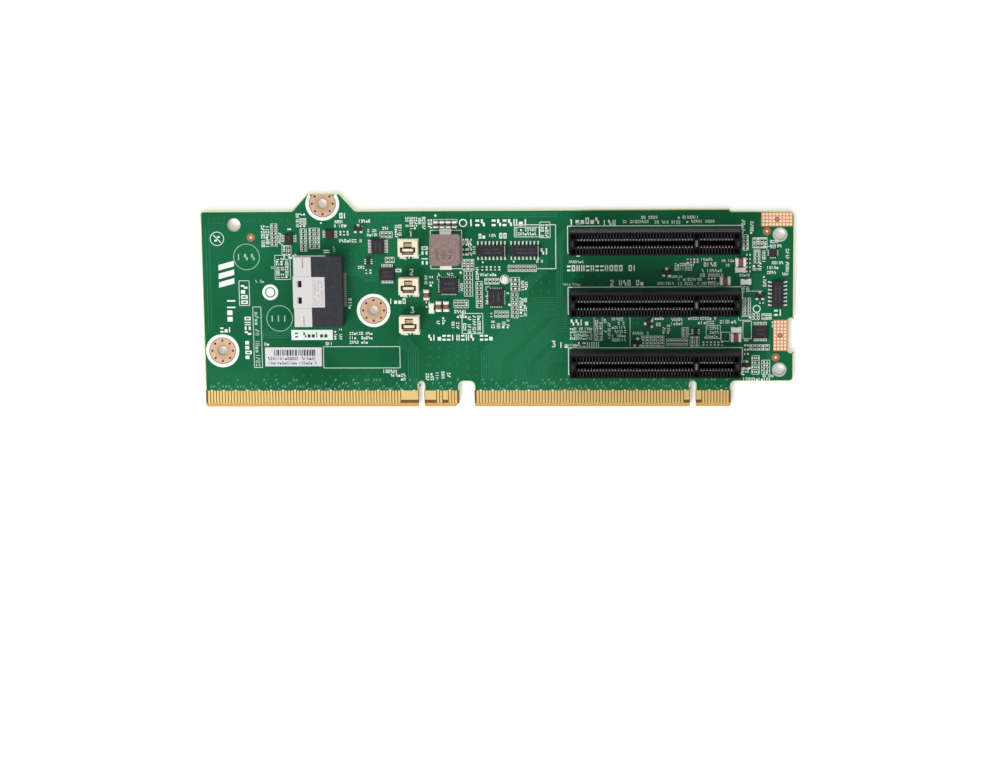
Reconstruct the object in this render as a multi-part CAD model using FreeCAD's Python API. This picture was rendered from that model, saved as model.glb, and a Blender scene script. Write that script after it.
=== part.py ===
import FreeCAD, Part
import math
import os

os.makedirs("parts", exist_ok=True)

# PCIe riser card, lying flat with its parts side up. All sizes are in millimetres.
# While modelling, X runs from the board's left edge, Y from the edge of the finger tabs,
# and Z = 0 is the board's upper face. save() moves each solid so that the origin is
# under the middle of the card, at the height that it rests on.

Vector = FreeCAD.Vector

# Card-edge fingers
finger_pitch = 1.0
finger_width = 0.7
finger_length = 4.2
finger_setback = 1.3
joined_finger_setback = 2.4
fingers_before_notch = 71
fingers_after_notch = 11
notch_to_finger = 0.55
tab_end_to_finger = 1.1
key_notch_width = 1.9
bevel_depth = 0.45
copper_thickness = 0.05
# Neighbouring fingers that share one pad, as (first, last) counted from the key notch
left_joined_fingers = [(-6, -1), (0, 3), (6, 7)]
right_joined_fingers = [(-2, -1), (0, 1)]

# Board
board_thickness = 1.57
tab_height = 8.5
tab_gap = 5.1
right_ear_length = 20.6
main_height = 57.5
tab_corner = 0.4
left_tab_end_corner = 1.3
gap_radius = 1.5
mount_ear_height = 5.7
mount_ear_top_width = 10.7
mount_ear_flare = 5.2
top_step_drop = 0.8
top_step_from_right = 21.5
side_recess_depth = 1.6
side_recess_length = 11.2
side_recess_above_tabs = 9.8
top_left_radius = 1.2
top_right_radius = 2.0
bottom_right_radius = 1.5

long_section = tab_end_to_finger + (fingers_before_notch - 1) * finger_pitch + notch_to_finger
short_section = notch_to_finger + (fingers_after_notch - 1) * finger_pitch + tab_end_to_finger
tab_length = long_section + key_notch_width + short_section
right_tab_x = tab_length + tab_gap
right_tab_end = right_tab_x + tab_length
board_length = right_tab_end + right_ear_length
board_top = tab_height + main_height
card_height = board_top + mount_ear_height

# Card slots
contact_pitch = 1.0
contacts_before_key = 38
contacts_after_key = 11
slot_key_step = 3.0
slot_end_margin = 3.0
slot_width = 7.5
slot_height = 11.25
slot_spacing = 20.32
slot_from_right = 17.6
first_slot_below_top = 10.0
groove_width = 1.9
groove_end_wall = 2.0
groove_floor = 2.9
slot_side_wall = 0.5
cavity_width = 0.6
key_rib_width = 1.75
corner_pocket_length = 1.4
corner_pocket_width = 1.6
corner_pocket_depth = 2.2
slot_contact_width = 0.42
slot_contact_root = 0.5
slot_contact_root_gap = 0.25
slot_contact_below_top = 0.9
slot_contact_bulge = 0.12

slot_length = 2 * slot_end_margin + slot_key_step \
    + (contacts_before_key + contacts_after_key - 2) * contact_pitch
slot_x = board_length - slot_from_right - slot_length
slot_rows = [board_top - first_slot_below_top - i * slot_spacing for i in range(3)]

# Locating pegs under the slots and the cable port, which the card rests on
# Pegs and their holes are six-sided, for a press fit that can't turn
peg_radius = 1.1
peg_sides = 6
peg_clearance = 0.12
peg_reach = 0.8
slot_peg_margin = 4.2
rest_depth = board_thickness + peg_reach

# Cable port, mouth to the left
port_x = slot_x - 91.15
port_y = board_top - 26.4
port_width = 23.2
port_depth = 16.05
port_height = 5.6
port_wall = 0.3
port_hood_depth = 5.85
port_lip = 0.3
port_lip_width = 10.7
port_window_length = 1.6
port_window_width = 2.15
port_window_from_mouth = 1.0
port_window_spacing = 5.5
port_seam_width = 0.25
port_seam_length = 3.3
port_seam_from_mouth = 3.0
port_tongue_plate_length = 4.4
port_tongue_plate_width = 10.1
port_blade_width = 18.6
port_blade_thickness = 1.0
port_blade_setback = 1.2
port_lug_length = 1.5
port_lug_margin = 1.0
port_contact_pitch = 0.6
port_contact_count = 19
port_contact_width = 0.25
port_foot_length = 0.8
port_foot_thickness = 0.2

# Holes: three take mounting screws, three take guide pins
screw_hole_radius = 1.85
ear_hole_x = 40.8
ear_hole_below_edge = 3.4
mount_ear_x = ear_hole_x + 0.35
screw_holes = [
    (ear_hole_x, card_height - ear_hole_below_edge),
    (6.15, tab_height + 10.6),
    (port_x + 25.75, board_top - 33.4),
]
corner_guide_radius = 2.25
side_guide_radius = 2.0
side_guide_from_right = 4.7
guide_holes = [
    (11.2, board_top - 4.6, corner_guide_radius),
    (board_length - side_guide_from_right, board_top - 8.6, side_guide_radius),
    (board_length - side_guide_from_right, tab_height + 3.9, side_guide_radius),
]

# Bare copper areas: left, bottom, length in X, length in Y
corner_pad = (board_length - 10.9, board_top - 5.9, 10.3, 4.7)
side_pad = (board_length - 6.7, tab_height + side_recess_above_tabs + 0.4, 4.8, 10.4)

# Upright cable headers
header_length = 6.55
header_width = 5.3
header_height = 5.0
header_x = port_x + 37.9
header_spacing = 12.75
first_header_below_top = 12.1
header_rows = [board_top - first_header_below_top - i * header_spacing for i in range(3)]
header_socket_length = 5.1
header_socket_width = 1.8
header_socket_depth = 3.8
header_socket_from_front = 1.3
header_key_length = 2.75
header_key_width = 1.75
header_key_depth = 1.8
header_step_length = 4.0
header_step_width = 0.75
header_step_depth = 1.6
header_blade_length = 4.0
header_blade_width = 0.75
header_blade_below_top = 0.6
header_contact_pitch = 1.25
header_contact_count = 3
header_contact_width = 0.4
header_foot_length = 1.3
header_foot_thickness = 0.25
header_nail_length = 1.6
header_nail_inset = 0.1

# Power inductor
inductor_x = header_x + 12.15
inductor_y = board_top - 13.0
inductor_side = 10.2
inductor_height = 4.0
inductor_edge = 0.35
inductor_corner = 0.8
terminal_width = 3.6
terminal_thickness = 0.25
terminal_rise = 1.8
terminal_foot = 0.9

# Chips with legs: name, middle X, middle Y, body length, body width, height, legs on each
# long side, leg pitch, and whether the long side runs along Y
chip_lift = 0.1
chip_draft = 0.15
leg_thickness = 0.2
leg_reach = 1.05
legged_chips = [
    ("twin_chip_left", inductor_x + 15.2, board_top - 13.5, 9.9, 3.9, 1.6, 8, 1.27, 0.42, False),
    ("twin_chip_right", inductor_x + 26.2, board_top - 13.5, 9.9, 3.9, 1.6, 8, 1.27, 0.42, False),
    ("edge_chip", board_length - 5.4, tab_height + 29.4, 8.65, 3.9, 1.6, 7, 1.27, 0.42, True),
]
plain_chips = [
    ("port_chip_upper", port_x + 27.65, board_top - 11.9, 4.4, 5.0, 1.1),
    ("port_chip_lower", port_x + 30.55, board_top - 21.1, 5.0, 4.4, 1.1),
    ("corner_chip", board_length - 11.0, tab_height + 16.7, 5.0, 4.4, 1.1),
    ("sensor_chip_left", port_x - 1.85, board_top - 9.2, 3.0, 3.0, 1.0),
    ("sensor_chip_right", port_x + 11.75, board_top - 7.8, 3.0, 3.0, 1.0),
    ("power_chip", inductor_x + 0.9, board_top - 25.2, 6.2, 5.3, 1.0),
    ("control_chip", inductor_x + 16.5, board_top - 29.2, 5.2, 5.8, 0.9),
    ("clock_chip", board_length - 7.0, board_top - 14.6, 2.6, 2.8, 0.9),
]

# Small three-legged parts: X, Y and whether the long side runs along Y
transistor_length = 2.9
transistor_width = 1.35
transistor_height = 1.1
transistor_leg_width = 0.42
transistor_leg_reach = 0.55
transistor_leg_spacing = 1.9
transistors = [
    (port_x + 21.15, board_top - 6.0, False),
    (board_length - 11.2, tab_height + 28.7, False),
    (slot_x + 31.8, slot_rows[1] + 9.42, False),
    (slot_x + 25.8, slot_rows[2] + 12.54, True),
    (slot_x + 22.2, slot_rows[2] + 6.44, False),
    (board_length - 15.5, tab_height + 5.6, False),
]

# Two-ended chip parts: X, Y and whether the long side runs along Y
terminal_share = 0.24
terminal_skin = 0.04
wide_capacitor = (3.2, 2.5, 1.7)
long_capacitor = (3.2, 1.6, 1.4)
small_capacitor = (2.0, 1.25, 1.0)
fuse = (3.2, 1.6, 0.7)
wide_capacitors = [
    (board_length - 17.5, slot_rows[0] - 7.6, False),
    (board_length - 22.6, slot_rows[1] + 6.52, False),
    (board_length - 19.0, slot_rows[2] + 7.84, False),
]
long_capacitors = [
    (header_x + 5.55, board_top - 28.2, True),
    (header_x + 9.55, board_top - 32.1, True),
    (header_x + 12.05, board_top - 32.1, True),
]
small_capacitors = [(inductor_x - 3.1 + 2.05 * i, board_top - 4.8, True) for i in range(4)]
fuses = [
    (board_length - 17.6, slot_rows[0] - 10.2, False),
    (board_length - 15.8, slot_rows[1] + 6.12, False),
    (board_length - 18.9, slot_rows[2] + 10.44, False),
    (header_x + 7.15, board_top - 32.7, True),
]

# Sticker
label_place = (20.4, tab_height + 5.3)
label_size = (19.0, 6.4)
label_thickness = 0.08


def save(name, solids):
    # Joins the solids of one sub-part and writes them in the card's own frame
    shape = solids[0] if len(solids) == 1 else Part.makeCompound(solids)
    shape = shape.copy()
    shape.translate(Vector(-board_length / 2, -card_height / 2, rest_depth))
    shape.exportStep("parts/" + name + ".step")


def block(x, y, z, length, width, height):
    # A box from its lowest corner
    return Part.makeBox(length, width, height, Vector(x, y, z))


def middle_block(x, y, z, length, width, height):
    # A box whose middle is at x, y
    return block(x - length / 2, y - width / 2, z, length, width, height)


def rod(x, y, z, radius, height):
    return Part.makeCylinder(radius, height, Vector(x, y, z))


def flat_sided_rod(x, y, z, radius, sides, height):
    # A regular prism whose corners lie on the radius
    turns = [2 * math.pi * i / sides for i in range(sides)]
    corners = [Vector(x + radius * math.cos(a), y + radius * math.sin(a), z) for a in turns]
    return prism(corners, Vector(0, 0, height))


def prism(points, direction):
    # A closed flat outline pushed along a direction
    outline = Part.makePolygon(list(points) + [points[0]])
    return Part.Face(outline).extrude(direction)


def turned(solid, x, y, quarter):
    # Turns a part a quarter round its own middle where it stands across the board
    if quarter:
        solid.rotate(Vector(x, y, 0), Vector(0, 0, 1), 90)
    return solid


def rounded_outline(corners):
    # A wire through (x, y, radius) corners, each with a tangent arc where its radius is above 0
    edges = []
    ends = []
    for i, (x, y, radius) in enumerate(corners):
        corner = Vector(x, y, 0)
        before = Vector(*corners[i - 1][:2], 0) - corner
        after = Vector(*corners[(i + 1) % len(corners)][:2], 0) - corner
        before.normalize()
        after.normalize()
        if radius == 0:
            ends.append((corner, corner))
            continue
        half_angle = before.getAngle(after) / 2
        reach = radius / math.tan(half_angle)
        inward = (before + after).normalize()
        middle = corner + inward * (radius / math.sin(half_angle) - radius)
        start = corner + before * reach
        end = corner + after * reach
        edges.append(Part.Arc(start, middle, end).toShape())
        ends.append((start, end))
    for i, (start, end) in enumerate(ends):
        leaving = ends[i - 1][1]
        if leaving.distanceToPoint(start) > 1e-6:
            edges.append(Part.LineSegment(leaving, start).toShape())
    return Part.Wire(Part.__sortEdges__(edges))


def board_corners():
    # Anticlockwise from the left tab's lower left corner
    corners = []
    for start, end_corner in ((0, left_tab_end_corner), (right_tab_x, tab_corner)):
        notch = start + long_section
        notch_end = notch + key_notch_width
        end = start + tab_length
        corners += [
            (start, tab_corner, 0),
            (start + tab_corner, 0, 0),
            (notch, 0, 0),
            (notch, tab_height, key_notch_width / 2),
            (notch_end, tab_height, key_notch_width / 2),
            (notch_end, 0, 0),
            (end - end_corner, 0, 0),
            (end, end_corner, 0),
            (end, tab_height, gap_radius),
        ]
        if start == 0:
            corners.append((right_tab_x, tab_height, gap_radius))
    right = board_length
    recess = tab_height + side_recess_above_tabs
    step_x = right - top_step_from_right
    right_top = board_top - top_step_drop
    ear_half = mount_ear_top_width / 2
    corners += [
        (right, tab_height, bottom_right_radius),
        (right, recess, 0),
        (right - side_recess_depth, recess, 0),
        (right - side_recess_depth, recess + side_recess_length, 0),
        (right, recess + side_recess_length, 0),
        (right, right_top, top_right_radius),
        (step_x + top_step_drop, right_top, 0),
        (step_x, board_top, 0),
        (mount_ear_x + ear_half + mount_ear_flare, board_top, 0),
        (mount_ear_x + ear_half, card_height, 0),
        (mount_ear_x - ear_half, card_height, 0),
        (mount_ear_x - ear_half - mount_ear_flare, board_top, 0),
        (0, board_top, top_left_radius),
    ]
    return corners


def slot_peg_places(row):
    # One peg at the long end and one under the key
    key_x = slot_x + slot_end_margin + (contacts_before_key - 1) * contact_pitch + slot_key_step / 2
    return [(slot_x + slot_peg_margin, row), (key_x, row)]


def port_lug_places():
    # Two solder lugs on each side wall of the port's shell
    side = port_width / 2 - port_wall / 2
    first = port_x + port_lug_margin
    second = port_x + port_hood_depth + port_tongue_plate_length - port_lug_margin - port_lug_length
    return [(x, port_y + s * side) for x in (first, second) for s in (-1, 1)]


def make_board():
    board = Part.Face(rounded_outline(board_corners())).extrude(Vector(0, 0, -board_thickness))
    low = -2 * board_thickness
    high = 3 * board_thickness
    # The tabs' edge is bevelled on both faces
    slope = bevel_depth / finger_setback
    run = 2 * finger_setback
    for side in (1, -1):
        face_z = 0 if side == 1 else -board_thickness
        wedge = [
            Vector(0, finger_setback, face_z),
            Vector(0, finger_setback - run, face_z - side * slope * run),
            Vector(0, finger_setback - run, face_z + side),
            Vector(0, finger_setback, face_z + side),
        ]
        board = board.cut(prism(wedge, Vector(right_tab_end, 0, 0)))
    cutters = [rod(x, y, low, screw_hole_radius, high) for x, y in screw_holes]
    cutters += [rod(x, y, low, radius, high) for x, y, radius in guide_holes]
    for row in slot_rows:
        for x, y in slot_peg_places(row):
            cutters.append(flat_sided_rod(x, y, low, peg_radius + peg_clearance, peg_sides, high))
    for x, y in port_lug_places():
        length = port_lug_length + 2 * peg_clearance
        width = port_wall + 2 * peg_clearance
        cutters.append(block(x - peg_clearance, y - width / 2, low, length, width, high))
    return board.cut(cutters)


def make_ground_pads():
    # Bare tinned copper at the right edge, where the cage touches the card
    return [
        block(x, y, 0, length, width, copper_thickness)
        for x, y, length, width in (corner_pad, side_pad)
    ]


def finger_pads(joined):
    # (left, right, start) of each pad on one tab. Joined fingers are one wide pad that starts later
    notch_end = long_section + key_notch_width
    centres = {}
    for i in range(-fingers_before_notch, 0):
        centres[i] = long_section - notch_to_finger + (i + 1) * finger_pitch
    for i in range(fingers_after_notch):
        centres[i] = notch_end + notch_to_finger + i * finger_pitch
    inside = {i for first, last in joined for i in range(first, last + 1)}
    half = finger_width / 2
    pads = [(x - half, x + half, finger_setback) for i, x in centres.items() if i not in inside]
    for first, last in joined:
        pads.append((centres[first] - half, centres[last] + half, joined_finger_setback))
    return sorted(pads)


def make_fingers(tab_x, joined, upper):
    z = 0 if upper else -board_thickness - copper_thickness
    end = finger_setback + finger_length
    return [
        block(tab_x + left, start, z, right - left, end - start, copper_thickness)
        for left, right, start in finger_pads(joined)
    ]


def slot_contact_places():
    # Middle of each contact along a slot
    long_run = [slot_x + slot_end_margin + i * contact_pitch for i in range(contacts_before_key)]
    start = long_run[-1] + slot_key_step
    return long_run + [start + i * contact_pitch for i in range(contacts_after_key)]


def make_slot_housing(row):
    body = block(slot_x, row - slot_width / 2, 0, slot_length, slot_width, slot_height)
    key_x = slot_peg_places(row)[1][0]
    left = slot_x + groove_end_wall
    right = slot_x + slot_length - groove_end_wall
    low_side = row - groove_width / 2
    key_left = key_x - key_rib_width / 2
    key_right = key_x + key_rib_width / 2
    depth = slot_height - groove_floor
    cutters = [
        block(left, low_side, groove_floor, key_left - left, groove_width, depth),
        block(key_right, low_side, groove_floor, right - key_right, groove_width, depth),
    ]
    # A comb of contact cavities opens into the groove from both sides
    cavity_reach = slot_width - 2 * slot_side_wall
    for x in slot_contact_places():
        cutters.append(middle_block(x, row, groove_floor, cavity_width, cavity_reach, depth))
    # Moulding pockets at both ends and beside the key
    pocket_z = slot_height - corner_pocket_depth
    pocket_offset = slot_width / 2 - slot_side_wall - corner_pocket_width / 2
    end_x = slot_end_margin - cavity_width / 2 - slot_side_wall - corner_pocket_length / 2
    for x in (slot_x + end_x, key_x, slot_x + slot_length - end_x):
        for side in (-1, 1):
            cutters.append(middle_block(x, row + side * pocket_offset, pocket_z,
                                        corner_pocket_length, corner_pocket_width, corner_pocket_depth))
    body = body.cut(cutters)
    pegs = [flat_sided_rod(x, y, 0, peg_radius, peg_sides, -rest_depth) for x, y in slot_peg_places(row)]
    return body.fuse(pegs)


def make_slot_contacts(row):
    # Leaning springs: the root stands on the cavity's floor, the tip bulges into the groove
    springs = []
    tip = groove_width / 2 - slot_contact_bulge
    root = slot_width / 2 - slot_side_wall - slot_contact_root_gap
    top = slot_height - slot_contact_below_top
    for x in slot_contact_places():
        for side in (-1, 1):
            start = x - slot_contact_width / 2
            outline = [
                Vector(start, row + side * (root - slot_contact_root), groove_floor),
                Vector(start, row + side * root, groove_floor),
                Vector(start, row + side * tip, top),
            ]
            springs.append(prism(outline, Vector(slot_contact_width, 0, 0)))
    return springs


def make_port_shell():
    # A stamped hood round the mouth, two side arms and a plate that reaches back over the housing
    inner_width = port_width - 2 * port_wall
    low = port_y - port_width / 2
    hood = block(port_x, low, 0, port_hood_depth, port_width, port_height)
    lip = block(port_x - port_lip, port_y - port_lip_width / 2, port_height - port_wall,
                port_lip, port_lip_width, port_wall)
    plate = block(port_x + port_hood_depth, port_y - port_tongue_plate_width / 2,
                  port_height - port_wall, port_tongue_plate_length, port_tongue_plate_width, port_wall)
    arms = [
        block(port_x + port_hood_depth, y, 0, port_tongue_plate_length, port_wall, port_height * 0.7)
        for y in (low, low + port_width - port_wall)
    ]
    lugs = [
        block(x, y - port_wall / 2, -rest_depth, port_lug_length, port_wall, rest_depth)
        for x, y in port_lug_places()
    ]
    inside = block(port_x - port_lip, low + port_wall, port_wall, port_hood_depth + port_lip,
                   inner_width, port_height - 2 * port_wall)
    top = port_height - 2 * port_wall
    window_x = port_x + port_window_from_mouth
    openings = [inside]
    for side in (-1, 1):
        middle = port_y + side * port_window_spacing / 2
        openings.append(block(window_x, middle - port_window_width / 2, top,
                              port_window_length, port_window_width, 3 * port_wall))
        seam_y = port_y + side * (port_width - port_seam_length - 2 * port_wall) / 2
        openings.append(block(port_x + port_seam_from_mouth, seam_y - port_seam_length / 2, top,
                              port_seam_width, port_seam_length, 3 * port_wall))
    return hood.cut(openings).fuse([lip, plate] + arms + lugs).removeSplitter()


def make_port_housing():
    # Moulded body behind the hood, with the contact blade that stands in the mouth
    back = port_x + port_hood_depth
    length = port_depth - port_hood_depth
    low = port_y - port_width / 2
    body = block(back, low, 0, length, port_width, port_height)
    arm_height = port_height * 0.7
    plate_bed = block(back, port_y - port_tongue_plate_width / 2, port_height - port_wall,
                      port_tongue_plate_length, port_tongue_plate_width, port_wall)
    arm_beds = [
        block(back, y, 0, port_tongue_plate_length, port_wall, arm_height)
        for y in (low, low + port_width - port_wall)
    ]
    blade_x = port_x + port_blade_setback
    blade = middle_block((blade_x + back) / 2, port_y, (port_height - port_blade_thickness) / 2,
                         back - blade_x, port_blade_width, port_blade_thickness)
    return body.cut([plate_bed] + arm_beds).fuse(blade)


def make_port_contacts():
    # Soldered feet along the back of the port
    back = port_x + port_depth
    feet = []
    for i in range(port_contact_count):
        y = port_y + (i - (port_contact_count - 1) / 2) * port_contact_pitch
        feet.append(block(back, y - port_contact_width / 2, 0, port_foot_length,
                          port_contact_width, port_foot_thickness))
    return feet


def make_header_housing(row):
    body = middle_block(header_x, row, 0, header_length, header_width, header_height)
    front = row - header_width / 2
    socket_y = front + header_socket_from_front + header_socket_width / 2
    socket = middle_block(header_x, socket_y, header_height - header_socket_depth,
                          header_socket_length, header_socket_width, header_socket_depth)
    key = block(header_x - header_key_length / 2, front + header_socket_from_front + header_socket_width,
                header_height - header_key_depth, header_key_length, header_key_width, header_key_depth)
    step = block(header_x - header_step_length / 2,
                 front + header_socket_from_front - header_step_width,
                 header_height - header_step_depth, header_step_length, header_step_width,
                 header_step_depth)
    blade = middle_block(header_x, socket_y, header_height - header_socket_depth, header_blade_length,
                         header_blade_width, header_socket_depth - header_blade_below_top)
    return body.cut([socket, key, step]).fuse(blade)


def make_header_contacts(row):
    # Contact feet and two anchor nails along the front, seated on the board
    front = row - header_width / 2
    feet = []
    for i in range(header_contact_count):
        x = header_x + (i - (header_contact_count - 1) / 2) * header_contact_pitch
        feet.append(block(x - header_contact_width / 2, front - header_foot_length, 0,
                          header_contact_width, header_foot_length, header_foot_thickness))
    for side in (-1, 1):
        x = header_x + side * (header_length / 2 - header_nail_inset - header_nail_length / 2)
        feet.append(block(x - header_nail_length / 2, front - header_foot_length, 0,
                          header_nail_length, header_foot_length, header_foot_thickness))
    return feet


def make_inductor_body():
    body = middle_block(inductor_x, inductor_y, terminal_thickness, inductor_side, inductor_side,
                        inductor_height - terminal_thickness)
    upright = [e for e in body.Edges if abs(e.tangentAt(e.FirstParameter).z) > 0.9]
    body = body.makeChamfer(inductor_corner, upright)
    top = [e for e in body.Edges if all(v.Z > inductor_height - 1e-6 for v in e.Vertexes)]
    body = body.makeChamfer(inductor_edge, top)
    return body


def make_inductor_terminals():
    # Flat straps that come out under the body, foot first, and fold up its ends
    straps = []
    start = inductor_x - terminal_width / 2
    for side in (-1, 1):
        face = inductor_side / 2
        inner = face - 2 * terminal_foot
        outer = face + terminal_foot
        rise = face + terminal_thickness
        profile = [(inner, 0), (outer, 0), (outer, terminal_thickness), (rise, terminal_thickness),
                   (rise, terminal_rise), (face, terminal_rise), (face, terminal_thickness),
                   (inner, terminal_thickness)]
        points = [Vector(start, inductor_y + side * y, z) for y, z in profile]
        straps.append(prism(points, Vector(terminal_width, 0, 0)))
    return straps


def make_chip_body(x, y, length, width, height):
    # Moulded case with drafted sides that meet at mid height
    sections = []
    middle = chip_lift + (height - chip_lift) / 2
    for z, inset in ((chip_lift, chip_draft), (middle, 0), (height, chip_draft)):
        half_x = length / 2 - inset
        half_y = width / 2 - inset
        points = [Vector(x + sx * half_x, y + sy * half_y, z) for sx, sy in ((-1, -1), (1, -1), (1, 1), (-1, 1))]
        sections.append(Part.makePolygon(points + [points[0]]))
    return Part.makeLoft(sections, True, True)


def make_leg(x, y, direction, body_edge, height, width):
    # A leg that leaves the case at mid height and slopes down to its pad
    shoulder = chip_lift + (height - chip_lift) / 2
    tip = body_edge + leg_reach
    profile = [
        (body_edge, shoulder - leg_thickness), (tip - leg_thickness, 0), (tip, 0),
        (body_edge, shoulder + leg_thickness),
    ]
    points = [Vector(x - width / 2, y + direction * reach, z) for reach, z in profile]
    return prism(points, Vector(width, 0, 0))


def make_chip_legs(x, y, length, width, height, count, pitch, leg_width, quarter):
    legs = []
    for i in range(count):
        offset = (i - (count - 1) / 2) * pitch
        for direction in (-1, 1):
            leg = make_leg(x + offset, y, direction, width / 2, height, leg_width)
            legs.append(turned(leg, x, y, quarter))
    return legs


def make_transistor_body(x, y, quarter):
    body = middle_block(x, y, chip_lift, transistor_length, transistor_width,
                        transistor_height - chip_lift)
    return turned(body, x, y, quarter)


def make_transistor_legs(x, y, quarter):
    # Two legs on the front side, one on the back
    legs = []
    spots = [(-transistor_leg_spacing / 2, -1), (transistor_leg_spacing / 2, -1), (0, 1)]
    for offset, direction in spots:
        start = transistor_width / 2
        y_low = min(direction * start, direction * (start + transistor_leg_reach))
        leg = block(x + offset - transistor_leg_width / 2, y + y_low, 0, transistor_leg_width,
                    transistor_leg_reach, leg_thickness)
        legs.append(turned(leg, x, y, quarter))
    return legs


def make_chip_part_body(size, x, y, quarter):
    # The part between its two metal ends
    length, width, height = size
    core = length * (1 - 2 * terminal_share)
    body = middle_block(x, y, 0, core, width - 2 * terminal_skin, height - terminal_skin)
    return turned(body, x, y, quarter)


def make_chip_part_ends(size, x, y, quarter):
    length, width, height = size
    end = length * terminal_share
    ends = []
    for side in (-1, 1):
        middle = x + side * (length - end) / 2
        ends.append(turned(middle_block(middle, y, 0, end, width, height), x, y, quarter))
    return ends


def chip_part_nodes(body_name, end_name, groups):
    bodies = []
    ends = []
    for size, places in groups:
        for x, y, quarter in places:
            bodies.append(make_chip_part_body(size, x, y, quarter))
            ends += make_chip_part_ends(size, x, y, quarter)
    save(body_name, bodies)
    save(end_name, ends)


save("board", [make_board()])
save("ground_pads", make_ground_pads())
for side_name, upper in (("upper", True), ("lower", False)):
    save("left_fingers_" + side_name, make_fingers(0, left_joined_fingers, upper))
    save("right_fingers_" + side_name, make_fingers(right_tab_x, right_joined_fingers, upper))

for number, slot_row in enumerate(slot_rows, 1):
    save("slot_%d_housing" % number, [make_slot_housing(slot_row)])
    save("slot_%d_contacts" % number, make_slot_contacts(slot_row))

save("port_shell", [make_port_shell()])
save("port_housing", [make_port_housing()])
save("port_contacts", make_port_contacts())

for number, header_row in enumerate(header_rows, 1):
    save("header_%d_housing" % number, [make_header_housing(header_row)])
    save("header_%d_contacts" % number, make_header_contacts(header_row))

save("inductor_body", [make_inductor_body()])
save("inductor_terminals", make_inductor_terminals())

for chip, x, y, length, width, height, count, pitch, leg_width, quarter in legged_chips:
    save(chip + "_body", [turned(make_chip_body(x, y, length, width, height), x, y, quarter)])
    save(chip + "_legs", make_chip_legs(x, y, length, width, height, count, pitch, leg_width, quarter))
for chip, x, y, length, width, height in plain_chips:
    save(chip + "_body", [make_chip_body(x, y, length, width, height)])

save("transistor_bodies", [make_transistor_body(*place) for place in transistors])
save("transistor_legs", [leg for place in transistors for leg in make_transistor_legs(*place)])

chip_part_nodes("large_capacitor_bodies", "large_capacitor_ends",
                [(wide_capacitor, wide_capacitors), (long_capacitor, long_capacitors)])
chip_part_nodes("small_capacitor_bodies", "small_capacitor_ends", [(small_capacitor, small_capacitors)])
chip_part_nodes("fuse_bodies", "fuse_ends", [(fuse, fuses)])

save("barcode_label", [block(*label_place, 0, *label_size, label_thickness)])
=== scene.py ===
import math
import random

import bmesh
import bpy
from mathutils import Matrix, Vector


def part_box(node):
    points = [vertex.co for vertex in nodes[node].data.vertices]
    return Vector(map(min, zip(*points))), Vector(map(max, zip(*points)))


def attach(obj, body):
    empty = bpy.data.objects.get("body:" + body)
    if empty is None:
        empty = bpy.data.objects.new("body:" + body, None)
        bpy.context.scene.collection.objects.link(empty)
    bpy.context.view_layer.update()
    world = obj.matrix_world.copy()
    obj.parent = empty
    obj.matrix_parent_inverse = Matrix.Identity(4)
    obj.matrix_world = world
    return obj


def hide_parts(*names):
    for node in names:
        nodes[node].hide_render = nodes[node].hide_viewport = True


# Riser card, parts side up. Flat sizes below are in millimetres, X from the board's left edge
# and Y from its tab edge; heights are above the board's upper face.

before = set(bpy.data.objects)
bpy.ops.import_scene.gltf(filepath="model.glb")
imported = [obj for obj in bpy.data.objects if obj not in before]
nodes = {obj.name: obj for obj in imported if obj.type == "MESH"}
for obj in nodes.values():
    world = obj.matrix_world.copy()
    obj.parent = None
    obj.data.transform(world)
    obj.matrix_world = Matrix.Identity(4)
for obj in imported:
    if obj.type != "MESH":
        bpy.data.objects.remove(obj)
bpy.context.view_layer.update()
boardLow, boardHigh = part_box("board")
mm = 0.001
print("frame loaded:", len(nodes), "parts")


def place(x, y, z=0.0):
    return Vector((boardLow.x + x * mm, boardLow.y + y * mm, boardHigh.z + z * mm))


def sheetSpot(point):
    return (point.x - boardLow.x) / mm, (point.y - boardLow.y) / mm


def sheetBox(node):
    # a part's corners in the card's own millimetres: left, near, low, right, far, high
    low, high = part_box(node)
    return (*sheetSpot(low), (low.z - boardHigh.z) / mm, *sheetSpot(high), (high.z - boardHigh.z) / mm)


board = {
    "length": (boardHigh.x - boardLow.x) / mm,
    "depth": (boardHigh.y - boardLow.y) / mm,
    "thickness": (boardHigh.z - boardLow.z) / mm,
    "maskEdge": 5.65,       # solder mask stops just above the edge fingers
    "printThickness": 0.018,
    "padThickness": 0.03,
}
underside = -board["thickness"]


# a layer is a pair of heights, low and high
def onTop(thickness):
    return 0.0, thickness


def onUnderside(thickness):
    return underside - thickness, underside


printTop = board["printThickness"]
padTop = board["padThickness"]
printLayer = onTop(printTop)
printBelow = onUnderside(printTop)
padLayer = onTop(padTop)


# shapes are gathered as plain points and faces, then turned into one piece
def newShape():
    return {"points": [], "faces": []}


def newShapes(count):
    return [newShape() for i in range(count)]


def addPrism(shape, outline, low, high):
    first = len(shape["points"])
    count = len(outline)
    shape["points"] += [(x, y, low) for x, y in outline]
    shape["points"] += [(x, y, high) for x, y in outline]
    shape["faces"].append(tuple(first + i for i in reversed(range(count))))
    shape["faces"].append(tuple(first + count + i for i in range(count)))
    for i in range(count):
        j = (i + 1) % count
        shape["faces"].append((first + i, first + j, first + count + j, first + count + i))


def addSpan(shape, left, near, right, far, low, high):
    addPrism(shape, [(left, near), (right, near), (right, far), (left, far)], low, high)


def addBox(shape, x, y, length, width, low, high, quarter=False):
    # a box centred on x, y; quarter swaps length and width
    if quarter:
        length, width = width, length
    a, b = length / 2, width / 2
    addSpan(shape, x - a, y - b, x + a, y + b, low, high)


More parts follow.
